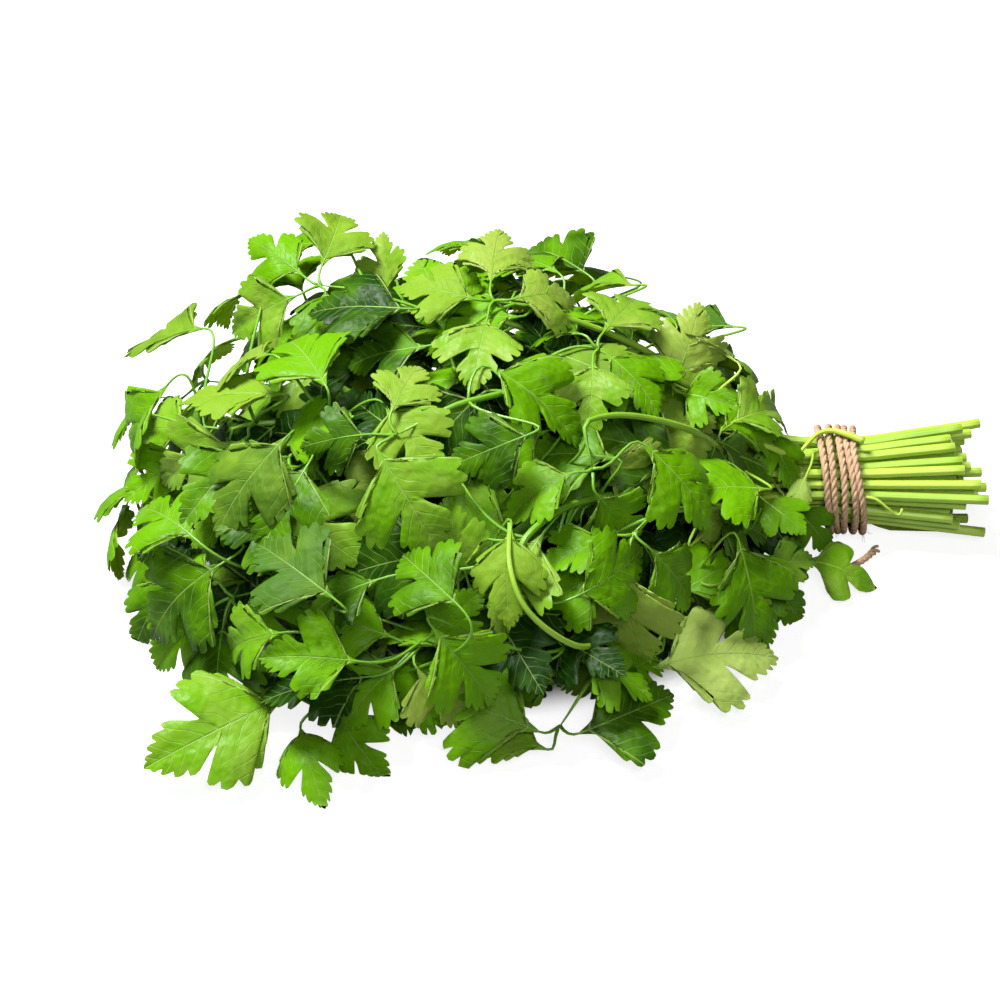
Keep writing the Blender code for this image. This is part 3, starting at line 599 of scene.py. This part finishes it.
def rib_places():
    """Where on the midrib the line to each point of the edge starts."""
    places = []
    furthest = 0.0
    for along, across in LEAF_EDGE:
        furthest = max(furthest, along - 0.9 * across - 0.01)
        places.append(min(furthest, 0.985))
    return places


def tooth_heights(edge):
    """How far each point of the edge stands out from those beside it, past the blade's base."""
    reaches = [math.hypot(*point) for point in edge]
    heights = []
    for number, (along, _) in enumerate(edge):
        near = reaches[max(number - TOOTH_NEIGHBOURS, 0):number + TOOTH_NEIGHBOURS + 1]
        past_base = clamped(5 * (along - 0.25))
        heights.append((reaches[number] - sum(near) / len(near)) * past_base)
    return heights


def leaf_template(kind, variant):
    """A closed blade of one length, flat out along X, with its lobes, teeth, arch and creases."""
    source = random.Random(SEED * 100 + kind * 10 + variant)
    ribs = rib_places()
    blunt = ROUNDED_BLUNTNESS if kind == ROUNDED else BLUNTNESS[variant]
    right = [(point.x, -point.y) for point in edge_side(source, SLIT_CLOSED[kind], blunt)]
    left = [(point.x, point.y) for point in edge_side(source, SLIT_CLOSED[kind], blunt)]
    edge = right + left[-2::-1]
    starts = ribs + ribs[-2::-1]
    last = len(edge) - 1
    teeth = tooth_heights(edge)
    phase = source.uniform(0, math.tau)
    mesh, uv_layer = new_mesh()

    def place(round_share, row_share):
        number = round(round_share * last)
        out = ROW_SHARES[round(row_share * (len(ROW_SHARES) - 1))]
        along = starts[number] + (edge[number][0] - starts[number]) * out
        across = edge[number][1] * out
        wave = math.sin(round_share * math.tau * 4 + phase)
        wave += 0.8 * math.sin(round_share * math.tau * 7 + 2 * phase)
        wide = min(1.0, 2.2 * abs(edge[number][1]))
        height = leaf_height(along, across) - TOOTH_RELIEF * teeth[number] * out
        height += WAVE_HEIGHT * wave * out * out * wide
        height += BULGE_HEIGHT * math.sin(math.pi * out) * wide
        return Vector((along, across, height))

    made = add_grid(mesh, last, len(ROW_SHARES) - 1, place)
    bmesh.ops.remove_doubles(mesh, verts=made, dist=1e-6)
    bmesh.ops.recalc_face_normals(mesh, faces=mesh.faces)
    if sum(face.normal.z for face in mesh.faces) < 0:
        bmesh.ops.reverse_faces(mesh, faces=mesh.faces)
    close_blade(mesh, uv_layer)
    return to_data(mesh, f"blade_{kind}_{variant}")


def close_blade(mesh, uv_layer):
    """Gives a sheet its thickness, sharp edges at the rim, its two materials and coordinates."""
    lower = bmesh.ops.extrude_face_region(mesh, geom=mesh.faces[:], use_keep_orig=True)["geom"]
    lower = {part for part in lower if isinstance(part, bmesh.types.BMVert)}
    bmesh.ops.translate(mesh, verts=list(lower), vec=(0, 0, -BLADE_THICKNESS))
    bmesh.ops.recalc_face_normals(mesh, faces=mesh.faces)
    for face in mesh.faces:
        if len(lower.intersection(face.verts)) == 2 and len(face.verts) == 4:
            for side in face.edges:
                if all(corner in lower for corner in side.verts) or lower.isdisjoint(side.verts):
                    side.smooth = False
        face.smooth = True
        face.material_index = UNDER if face.normal.z < -0.3 else UPPER
        for loop in face.loops:
            loop[uv_layer].uv = (loop.vert.co.x, loop.vert.co.y)


def add_blade(mesh, leaflet, template, source, tone, turned_over=False):
    """Copies a template onto a leaflet's place, with its own curl, fold, twist and bow."""
    blade = bmesh.new()
    blade.from_mesh(template)
    curl = source.uniform(-0.12, 0.32)
    fold = source.uniform(-0.15, 0.5)
    twist = source.uniform(-0.45, 0.45)
    bow = source.uniform(-0.10, 0.10)
    tone_layer = blade.verts.layers.float["tone"]
    for corner in blade.verts:
        along, across, height = corner.co
        height += fold * abs(across) * min(1.0, along * 3) - curl * along * along
        height += twist * across * along
        corner.co = leaflet.place(along, across + bow * along * along, height)
        corner.co.z = max(corner.co.z, LEAST_HEIGHT + 0.0006 * max(0.0, height + 0.3))
        corner[tone_layer] = tone
    if turned_over:
        for face in blade.faces:
            face.material_index = UPPER if face.material_index == UNDER else UNDER
    copy = to_data(blade, "blade")
    mesh.from_mesh(copy)
    bpy.data.meshes.remove(copy)

    def midline(along):
        point = leaflet.place(along, bow * along * along,
                              leaf_height(along, 0.0) - curl * along * along)
        point.z = max(point.z, LEAST_HEIGHT + 0.0004)
        return point

    return midline


def add_leaf_stalk(mesh, leaflet, stem, midline, tone):
    """The thin curved stalk from the stem to a blade, running on as the blade's midrib."""
    start, root = leaflet.hub, midline(0.0)
    reach = (root - start).length
    heading = (root - start).normalized()
    heading = (heading + stem.direction(stem.nearest(start)) * 0.55).normalized()
    into = (midline(0.1) - midline(0.0)).normalized()
    line = interpolate_bezier(start, start + heading * reach * 0.42, root - into * reach * 0.38,
                              root, max(5, round(reach / LEAF_STALK_STEP)))
    first, last = LEAF_STALK_RADII
    run = []
    for number, point in enumerate(line):
        share = number / (len(line) - 1)
        point.z = max(point.z, LEAST_HEIGHT + 0.0008)
        run.append((point, first + (last - first) * share))
    for number in range(1, MIDRIB_STEPS + 1):
        place = midline(number * MIDRIB_STEP) - leaflet.normal * MIDRIB_SUNK
        run.append((place, MIDRIB_RADIUS - MIDRIB_THINNING * number))
    add_tube(mesh, run, LEAF_STALK_SIDES, STALK, tone=0.5 * tone + 0.3)


def new_mesh():
    """An empty mesh with the layers that every piece has, and its surface coordinates."""
    mesh = bmesh.new()
    mesh.verts.layers.float.new("tone")
    return mesh, mesh.loops.layers.uv.new("surface")


def to_data(mesh, name):
    data = bpy.data.meshes.new(name)
    mesh.to_mesh(data)
    mesh.free()
    return data


def new_object(name, data):
    made = bpy.data.objects.new(name, data)
    bpy.context.scene.collection.objects.link(made)
    return made


def shaped(point, radius, end):
    """A point of a stalk, spread a little past the tie, and its radius, thinner near its end."""
    past = max(0.0, point.x - TIE.x - TIE_HALF) / FAN_REACH
    spread = Vector((0, point.y - TIE.y, point.z - TIE.z)) * FAN_SPREAD * past
    point = point + spread
    point.z = max(point.z, radius * 1.06 + LEAST_HEIGHT)
    return point, radius * min(1.0, END_SHARE + (point - end).length / TAPER_REACH)


def build_stem(stem, templates, number):
    """One leafy stem's piece: its stalk, and each leaflet's blade and stalk."""
    source = random.Random(SEED * 1000 + number)
    mesh, _ = new_mesh()
    stem_tone = source.random()
    run = [shaped(place, radius, stem.run[-1][0]) for place, radius in stem.run]
    add_tube(mesh, run, STALK_SIDES, STALK, CUT, STALK_RIDGE, 0.5 + 0.4 * stem_tone)
    for leaflet in stem.leaflets:
        template = templates[leaflet.kind][source.randrange(VARIANTS)]
        # Painted shade: a leaflet that lies deep in the foliage gets a lower tone, and its stalk
        # follows it
        tone = clamped(0.4 * stem_tone + 0.6 * source.random() - leaflet.depth)
        turned_over = source.random() < TURNED_OVER_SHARE
        if turned_over:
            tone *= TURNED_OVER_TONE
        if leaflet.shown:
            tone, turned_over = leaflet.shown
        midline = add_blade(mesh, leaflet, template, source, tone, turned_over)
        add_leaf_stalk(mesh, leaflet, stem, midline, tone)
    if stem.name in BARE_STALKS:
        add_bare_stalk(mesh, stem.name)
    return finish_piece(mesh, "dressed_" + stem.name, GREENS, stem.name)


def fill_foliage(stems):
    """More leaflets under and between the others, on stalks from the nearest stems."""
    source = random.Random(SEED + 1)
    shown = [leaflet for stem in stems for leaflet in stem.leaflets]
    sketches = [(leaflet.middle(), leaflet.sketch()) for leaflet in shown]
    added = 0
    for _ in range(FILL_TRIES):
        if added == FILL_LEAFLETS:
            break
        model = shown[source.randrange(len(shown))]
        depth = source.uniform(*FILL_DEPTHS)
        place = model.middle() - model.normal * depth
        place += model.along * source.uniform(-FILL_SHIFT, FILL_SHIFT)
        place += model.across * source.uniform(-FILL_SHIFT, FILL_SHIFT)
        normal = wobbled(model.normal, FILL_TILT, source)
        turn = Matrix.Rotation(source.uniform(-FILL_TURN, FILL_TURN), 3, normal)
        along = turn @ square_to(model.along, normal)
        length = source.uniform(*FILL_LENGTHS)
        # Painted shade: the deeper it lies under the model leaf, the lower its tone
        leaflet = Leaflet(place - along * length / 2, along, normal, length,
                          source.uniform(*FILL_WIDTHS), source.choice(FILL_KINDS),
                          depth=depth * DEPTH_SHADE)
        if min((place - middle).length for middle, _ in sketches) < FILL_GAP:
            continue
        if not in_foliage(leaflet):
            continue
        sketch = leaflet.sketch()
        if any((place - middle).length < FILL_NEAR and sketch.overlap(other)
               for middle, other in sketches):
            continue
        stem = carrier(leaflet, stems)
        if stem:
            stem.leaflets.append(leaflet)
            sketches.append((place, sketch))
            added += 1


def add_shown_leaves(stems):
    """The listed leaves, each on the stem that has the shortest way to it."""
    for root, tip, roll, width, tone, pale_side in SHOWN_LEAVES:
        root, tip = from_tie(root), from_tie(tip)
        along = (tip - root).normalized()
        normal = Matrix.Rotation(math.radians(roll), 3, along) @ square_to(SHOWN_FACING, along)
        leaflet = Leaflet(root, along, normal, (tip - root).length, width, 0)
        leaflet.shown = (tone, pale_side)
        carrier(leaflet, stems).leaflets.append(leaflet)


def tone_seen_leaves(stems):
    """Gives the leaves that show plainly their tone, partly their own green and partly painted
    light and shade: at each place, the one in front.
    """
    seen = [(Vector(seen_at(leaflet.middle())), leaflet)
            for stem in stems for leaflet in stem.leaflets if leaflet.shown is None]
    eye = bpy.context.scene.camera.location
    for place, tone, pale_side in SEEN_LEAVES:
        near = [leaflet for point, leaflet in seen
                if (point - Vector(place)).length < SEEN_REACH]
        if near:
            front = min(near, key=lambda leaflet: (leaflet.middle() - eye).length)
            front.shown = (tone, pale_side)
    rounded = min(seen, key=lambda pair: (pair[0] - Vector(ROUNDED_LEAF)).length)[1]
    rounded.shown = (ROUNDED_TONE, False)
    rounded.kind = ROUNDED


def add_bare_stalk(mesh, name):
    first, last, places = BARE_STALKS[name]
    radii = [MILLIMETRE * (first + (last - first) * number / (len(places) - 1))
             for number in range(len(places))]
    run = smooth_run([from_tie(place) for place in places], radii, BARE_STALK_STEP)
    add_tube(mesh, run, BARE_STALK_SIDES, STALK, tone=1.0)


def wobbled(vector, amount, source):
    return (vector + Vector(source.uniform(-amount, amount) for _ in range(3))).normalized()


def seen_at(point):
    """Where a place shows in the photograph, in its pixels."""
    camera = bpy.context.scene.camera
    seen = camera.matrix_world.inverted() @ point
    focal = camera.data.lens / camera.data.sensor_width * PHOTO_WIDTH
    return PHOTO_WIDTH / 2 - focal * seen.x / seen.z, PHOTO_WIDTH / 2 + focal * seen.y / seen.z


def in_outline(point):
    """Whether a place shows inside the foliage's outline: it counts the edges to its right."""
    x, y = seen_at(point)
    inside = False
    for start, end in zip(FOLIAGE_OUTLINE, FOLIAGE_OUTLINE[1:] + FOLIAGE_OUTLINE[:1]):
        if (start[1] > y) != (end[1] > y):
            share = (y - start[1]) / (end[1] - start[1])
            if start[0] + (end[0] - start[0]) * share > x:
                inside = not inside
    return inside


def in_foliage(leaflet):
    """Whether a leaflet is over the floor, away from the tie, in the outline and in the box."""
    for shares in EXTREMES:
        corner = leaflet.place(*shares)
        if corner.z < 0.002 or corner.x > TIE.x - LEAFLESS or not in_outline(corner):
            return False
        if any(corner[axis] < cad_box[0][axis] or corner[axis] > cad_box[1][axis]
               for axis in range(3)):
            return False
    return True


def carrier(leaflet, stems):
    """The stem with the shortest, straightest way to a new leaflet, and its hub on that stem."""
    best = None
    best_cost = LONGEST_STALK
    for stem in stems:
        place, _ = stem.run[max(0, stem.nearest(leaflet.root) - 2)]
        if place.x > TIE.x - TIE_HALF:
            continue
        run = leaflet.root - place
        cost = run.length * (1.7 - 1.1 * run.normalized().dot(leaflet.along))
        if 0.004 < run.length and cost < best_cost:
            best, best_cost, leaflet.hub = stem, cost, place
    return best


def finish_piece(mesh, name, materials, node):
    """Makes a mesh the piece that is seen in the place of one node of the frame."""
    piece = new_object(name, to_data(mesh, name))
    for material in materials:
        piece.data.materials.append(material)
    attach(piece, "root")
    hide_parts(node)
    return piece


def wrap_point(angle):
    """A place on the wrap, in turns that slant and wander a little along the bundle."""
    along = WRAP_PITCH * (angle / math.tau - WRAP_TURNS / 2)
    along -= WRAP_SLANT * math.cos(angle - math.pi)
    along += 0.55 * math.sin(1.27 * angle + 0.5) + 0.3 * math.sin(3.1 * angle)
    radius = WRAP_RADIUS + 0.22 * math.sin(0.81 * angle) - 0.12
    round_tie = Vector((along, -radius * math.sin(angle), -radius * math.cos(angle)))
    return TIE + round_tie * MILLIMETRE


def add_twisted(mesh, path, pitch, fray=0.0):
    """Strands laid round each other along a path; fray opens and thins them towards its end."""
    radius = TWINE_RADIUS * MILLIMETRE
    travelled = [0.0]
    for here, after in zip(path, path[1:]):
        travelled.append(travelled[-1] + (after - here).length)
    directions = headings(path)
    ups = ups_along(directions, TWINE_UP)
    for ply in range(PLIES):
        run = []
        for point, way, direction, up in zip(path, travelled, directions, ups):
            angle = math.tau * (way / pitch + ply / PLIES)
            late = max(0.0, way / travelled[-1] - FRAY_START) / (1 - FRAY_START)
            offset = radius * (PLY_OFFSET + fray * late * late)
            out = up * math.cos(angle) + direction.cross(up) * math.sin(angle)
            run.append((point + out * offset, radius * PLY_RADIUS * (1 - 0.45 * late * fray)))
        add_tube(mesh, run, PLY_SIDES, 0, tone=ply / PLIES)


def add_fibres(mesh, path, source):
    """Loose hairs that stand out of the twine."""
    for _ in range(FIBRES):
        index = source.randrange(5, len(path) - 5)
        along = (path[index + 1] - path[index]).normalized()
        out = wobbled(square_to(wobbled(along, 2.0, source), along), 0.4, source)
        start = path[index] + out * TWINE_RADIUS * MILLIMETRE * 0.9
        reach = source.uniform(*FIBRE_REACH)
        lean = along * source.uniform(-1.2, 1.2)
        points = [start, start + (out * 0.5 + lean * 0.4) * reach * 0.5,
                  start + (out * 0.8 + lean) * reach]
        if min(point.z for point in points) > LEAST_HEIGHT:
            run = smooth_run(points, FIBRE_RADII, FIBRE_STEP)
            add_tube(mesh, run, FIBRE_SIDES, 0, tone=source.random())


def build_wrap(jute):
    mesh, _ = new_mesh()
    path = [wrap_point(math.tau * step / WRAP_STEPS_A_TURN)
            for step in range(WRAP_TURNS * WRAP_STEPS_A_TURN + 1)]
    add_twisted(mesh, path, WRAP_TWIST)
    add_fibres(mesh, path, random.Random(SEED + 2))
    return finish_piece(mesh, "jute_tie", [jute], "twine_wrap")


def tail_route():
    """The loose end's line, which is the one that the frame's solid follows."""
    points = [from_tie(place) for place in TAIL_POINTS]
    route = []
    for index in range(len(points) - 1):
        before = points[max(index - 1, 0)]
        here, after = points[index], points[index + 1]
        beyond = points[min(index + 2, len(points) - 1)]
        first = (after - before) / 6
        second = (beyond - here) / 6
        line = interpolate_bezier(here, here + first, after - second, after, TAIL_STEPS + 1)
        route.extend(line[:-1])
    route.append(points[-1])
    return route


def build_tail(jute):
    route = tail_route()
    mesh, _ = new_mesh()
    add_twisted(mesh, route, TAIL_TWIST, TAIL_FRAY)
    tail = finish_piece(mesh, "jute_loose_end", [jute], "twine_tail")


class Wiring:
    """Adds nodes to a tree and links them."""

    def __init__(self, tree):
        self.tree = tree

    def feed(self, node, name, value):
        """Links a socket to another node's output, or sets the socket's own number or colour."""
        if isinstance(value, bpy.types.NodeSocket):
            self.tree.links.new(value, node.inputs[name])
        else:
            node.inputs[name].default_value = value

    def add(self, kind, inputs=None, **settings):
        node = self.tree.nodes.new("ShaderNode" + kind)
        for name, value in settings.items():
            setattr(node, name, value)
        for name, value in (inputs or {}).items():
            self.feed(node, name, value)
        return node

    def math(self, operation, *values):
        return self.add("Math", dict(enumerate(values)), operation=operation).outputs[0]

    def vector(self, operation, *values):
        return self.add("VectorMath", dict(enumerate(values)), operation=operation).outputs

    def noise(self, place, scale, detail):
        return self.add("TexNoise", {"Vector": place, "Scale": scale, "Detail": detail})

    def mix(self, share, first, second):
        """A colour between two others."""
        return self.add("Mix", {0: share, 6: first, 7: second}, data_type="RGBA").outputs[2]

    def ramp(self, value, low, high, low_result=0.0, high_result=1.0):
        node = self.add("MapRange", {0: value, 1: low, 2: high, 3: low_result, 4: high_result},
                        interpolation_type="SMOOTHSTEP")
        return node.outputs[0]


def vein_group():
    """Veins of a leaflet from its leaf coordinates: the midrib, two side ribs and herringbones."""
    group = bpy.data.node_groups.new("leaf_veins", "ShaderNodeTree")
    group.interface.new_socket("Place", in_out="INPUT", socket_type="NodeSocketVector")
    group.interface.new_socket("Veins", in_out="OUTPUT", socket_type="NodeSocketFloat")
    group.interface.new_socket("Height", in_out="OUTPUT", socket_type="NodeSocketFloat")
    place = group.nodes.new("NodeGroupInput").outputs["Place"]
    end = group.nodes.new("NodeGroupOutput")
    wiring = Wiring(group)
    wobble = wiring.noise(place, 6.0, 0.0)
    split = wiring.add("SeparateXYZ", {0: place})
    across = wiring.math("ABSOLUTE", split.outputs[1])
    here = wiring.add("CombineXYZ", {0: wiring.math("ADD", split.outputs[0], -SIDE_RIB_START),
                                     1: across}).outputs[0]
    rib_axis = Vector(SIDE_RIB_AXIS).normalized()
    side_run = wiring.vector("DOT_PRODUCT", here, tuple(rib_axis))["Value"]
    side_gap = wiring.vector("DOT_PRODUCT", here, (-rib_axis.y, rib_axis.x, 0))["Value"]
    side_gap = wiring.math("ABSOLUTE", side_gap)
    nearer = wiring.math("LESS_THAN", side_gap, across)
    gap = wiring.math("MINIMUM", side_gap, across)
    run = wiring.add("Mix", {0: nearer, 2: split.outputs[0], 3: side_run}, data_type="FLOAT")
    bent = wiring.math("MULTIPLY_ADD", wobble.outputs["Fac"], 0.09, run.outputs[0])
    slant = wiring.math("MULTIPLY_ADD", gap, -0.95, bent)
    step = wiring.math("PINGPONG", wiring.math("MULTIPLY", slant, 1 / BRANCH_STEP), 0.5)
    branch = wiring.ramp(step, 0.0, 0.09, 0.5, 0.0)
    fade = wiring.ramp(gap, 0.06, 0.22, 1.0, 0.35)
    branch = wiring.math("MULTIPLY", branch, fade)
    taper = wiring.math("MULTIPLY_ADD", run.outputs[0], -0.010, 0.016)
    rib = wiring.ramp(wiring.math("DIVIDE", gap, taper), 0.25, 1.0, 1.0, 0.0)
    mask = wiring.math("MAXIMUM", rib, branch)
    wiring.feed(end, "Veins", mask)
    wiring.feed(end, "Height", wiring.math("MULTIPLY", mask, -VEIN_DEPTH))
    return group


def new_material(name):
    material = bpy.data.materials.new(name)
    material.use_nodes = True
    wiring = Wiring(material.node_tree)
    object_place = wiring.add("TexCoord").outputs["Object"]
    return material, wiring, material.node_tree.nodes["Principled BSDF"], object_place


def leaf_material(name, veins, dark, middle, light, vein_colour, vein_share, roughness):
    """One side of a blade: its greens by tone, which holds painted shade and painted light as well
    as its own green, paler veins, mottling and light passing through.
    """
    material, wiring, shader, object_place = new_material(name)
    surface = wiring.add("UVMap", uv_map="surface").outputs[0]
    tone = wiring.add("Attribute", attribute_name="tone").outputs["Fac"]
    spots = wiring.noise(object_place, 90.0, 1.0).outputs["Fac"]
    shade = wiring.math("ADD", tone, wiring.math("MULTIPLY_ADD", spots, 0.5, -0.25))
    colour = wiring.mix(wiring.ramp(shade, 0.0, 0.5), dark, middle)
    colour = wiring.mix(wiring.ramp(shade, 0.55, 1.1), colour, light)
    group = wiring.add("Group", node_tree=veins)
    wiring.feed(group, "Place", surface)
    line = wiring.math("MULTIPLY", group.outputs["Veins"], vein_share)
    wiring.feed(shader, "Base Color", wiring.mix(line, colour, vein_colour))
    rough = wiring.math("MULTIPLY_ADD", spots, 0.16, roughness - 0.08)
    wiring.feed(shader, "Roughness", rough)
    wiring.feed(shader, "Specular IOR Level", 0.14)
    crinkles = wiring.noise(object_place, 260.0, 1.0).outputs["Fac"]
    height = wiring.math("MULTIPLY_ADD", crinkles, 1.6, group.outputs["Height"])
    relief = wiring.add("Bump", {"Strength": 0.7, "Distance": 0.0007, "Height": height})
    wiring.feed(shader, "Normal", relief.outputs[0])
    # Painted shade: the light through a blade dims with its tone
    passing = wiring.mix(wiring.ramp(shade, -0.1, 0.5), SHADE_DIMMED_GLOW, LEAF_GLOW)
    through = wiring.add("BsdfTranslucent", {"Color": passing})
    blend = wiring.add("MixShader", {0: GLOW_SHARE, 1: shader.outputs[0], 2: through.outputs[0]})
    wiring.feed(material.node_tree.nodes["Material Output"], 0, blend.outputs[0])
    return material


def stalk_material():
    """Pale or dark green by tone, with fine ridges along the stalk."""
    material, wiring, shader, object_place = new_material("stalk_green")
    tone = wiring.add("Attribute", attribute_name="tone").outputs["Fac"]
    spots = wiring.noise(object_place, 60.0, 4.0).outputs["Fac"]
    shade = wiring.math("MULTIPLY_ADD", spots, 0.6, wiring.math("ADD", tone, -0.3))
    colour = wiring.mix(wiring.ramp(shade, 0.0, 1.0), STALK_DARK, STALK_PALE)
    split = wiring.add("SeparateXYZ", {0: wiring.add("UVMap", uv_map="surface").outputs[0]})
    lines = wiring.math("SINE", wiring.math("MULTIPLY", split.outputs[0], math.tau * 8))
    ridges = wiring.math("MULTIPLY", wiring.ramp(lines, -0.6, 1.0), 0.1)
    wiring.feed(shader, "Base Color", wiring.mix(ridges, colour, STALK_RIDGE_COLOUR))
    wiring.feed(shader, "Roughness", 0.42)
    relief = wiring.add("Bump", {"Strength": 0.2, "Distance": 0.0003, "Height": lines})
    wiring.feed(shader, "Normal", relief.outputs[0])
    return material


def cut_material():
    """The pale wet face of a cut stalk."""
    material, wiring, shader, object_place = new_material("stalk_cut_face")
    spots = wiring.noise(object_place, 900.0, 2.0).outputs["Fac"]
    wiring.feed(shader, "Base Color", wiring.mix(spots, CUT_DARK, CUT_PALE))
    wiring.feed(shader, "Roughness", 0.6)
    return material


def jute_material():
    """Coarse fibres that run along the strands, with pale and dark ones mixed."""
    material, wiring, shader, object_place = new_material("jute_strand")
    surface = wiring.add("UVMap", uv_map="surface").outputs[0]
    fibres = wiring.noise(wiring.vector("MULTIPLY", surface, FIBRE_STRETCH)[0], 1.6, 5.0)
    wiring.feed(fibres, "Distortion", 0.6)
    fibres = fibres.outputs["Fac"]
    patches = wiring.noise(object_place, 300.0, 2.0).outputs["Fac"]
    colour = wiring.mix(wiring.ramp(fibres, 0.3, 0.7), JUTE_DARK, JUTE_PALE)
    colour = wiring.mix(wiring.math("MULTIPLY", patches, 0.5), colour, JUTE_MIDDLE)
    wiring.feed(shader, "Base Color", colour)
    wiring.feed(shader, "Roughness", 0.9)
    relief = wiring.add("Bump", {"Strength": 0.8, "Distance": 0.0004, "Height": fibres})
    wiring.feed(shader, "Normal", relief.outputs[0])
    return material


def add_camera():
    data = bpy.data.cameras.new("photo_camera")
    data.lens = CAMERA_LENS
    camera = new_object("photo_camera", data)
    rise = math.radians(CAMERA_HEIGHT_ANGLE)
    view = Vector((0, math.cos(rise), -math.sin(rise)))
    camera.location = from_tie(CAMERA_TARGET) - view * CAMERA_DISTANCE
    camera.rotation_euler = (math.radians(90) - rise, 0, 0)
    bpy.context.scene.camera = camera


def add_floor():
    mesh = bmesh.new()
    bmesh.ops.create_grid(mesh, x_segments=1, y_segments=1, size=FLOOR_SIZE)
    floor = new_object("white_surface", to_data(mesh, "white_surface"))
    material, wiring, shader, place = new_material("white_surface")
    wiring.feed(shader, "Base Color", (FLOOR_GREY, FLOOR_GREY, FLOOR_GREY, 1))
    wiring.feed(shader, "Roughness", 0.8)
    wiring.feed(shader, "Emission Color", WHITE)
    from_middle = wiring.vector("SUBTRACT", place, FLOOR_SHADE_MIDDLE)[0]
    shrunk = wiring.vector("DIVIDE", from_middle, FLOOR_SHADE_REACH)[0]
    distance = wiring.vector("LENGTH", shrunk)["Value"]
    direct = wiring.add("LightPath").outputs["Is Camera Ray"]
    glow = wiring.ramp(distance, *FLOOR_SHADE_EDGE, 0.0, FLOOR_GLOW)
    wiring.feed(shader, "Emission Strength", wiring.math("MULTIPLY", direct, glow))
    floor.data.materials.append(material)


def add_light(name, place, target, size, power):
    data = bpy.data.lights.new(name, "AREA")
    data.shape = "SQUARE"
    data.size = size
    data.energy = power
    light = new_object(name, data)
    light.location = place
    light.rotation_euler = (Vector(target) - Vector(place)).to_track_quat("-Z", "Y").to_euler()


def add_studio():
    """White all round for the camera, which gives the bunch only a little light of its own."""
    world = bpy.data.worlds.new("white_studio")
    bpy.context.scene.world = world
    world.use_nodes = True
    background = world.node_tree.nodes["Background"]
    wiring = Wiring(world.node_tree)
    wiring.feed(background, "Color", WHITE)
    direct = wiring.add("LightPath").outputs["Is Camera Ray"]
    wiring.feed(background, "Strength", wiring.ramp(direct, 0.0, 1.0, STUDIO_LIGHT, 1.0))
    for name, (place, target, size, power) in LIGHTS.items():
        add_light(name, place, target, size, power)
    bpy.context.scene.view_settings.view_transform = "Standard"


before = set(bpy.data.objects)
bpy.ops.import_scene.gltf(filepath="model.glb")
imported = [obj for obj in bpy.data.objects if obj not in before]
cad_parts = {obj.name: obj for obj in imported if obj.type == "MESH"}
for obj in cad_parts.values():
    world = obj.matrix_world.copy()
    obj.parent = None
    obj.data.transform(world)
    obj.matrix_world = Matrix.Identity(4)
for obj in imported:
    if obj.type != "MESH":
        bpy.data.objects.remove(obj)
cad_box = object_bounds()
stems = [Stem(name) for name in sorted(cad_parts) if name.startswith("leafy_stem")]
TIE = average(stem.tie for stem in stems)
add_camera()
add_studio()
add_floor()
JUTE = jute_material()
build_tail(JUTE)
build_wrap(JUTE)
VEINS = vein_group()
GREENS = [stalk_material(), cut_material(), leaf_material("leaf_upper", VEINS, **LEAF_UPPER),
          leaf_material("leaf_under", VEINS, **LEAF_UNDER)]
add_shown_leaves(stems)
fill_foliage(stems)
tone_seen_leaves(stems)
TEMPLATES = [[leaf_template(kind, variant) for variant in range(VARIANTS)]
             for kind in range(ROUNDED + 1)]
for number, stem in enumerate(stems):
    build_stem(stem, TEMPLATES, number)
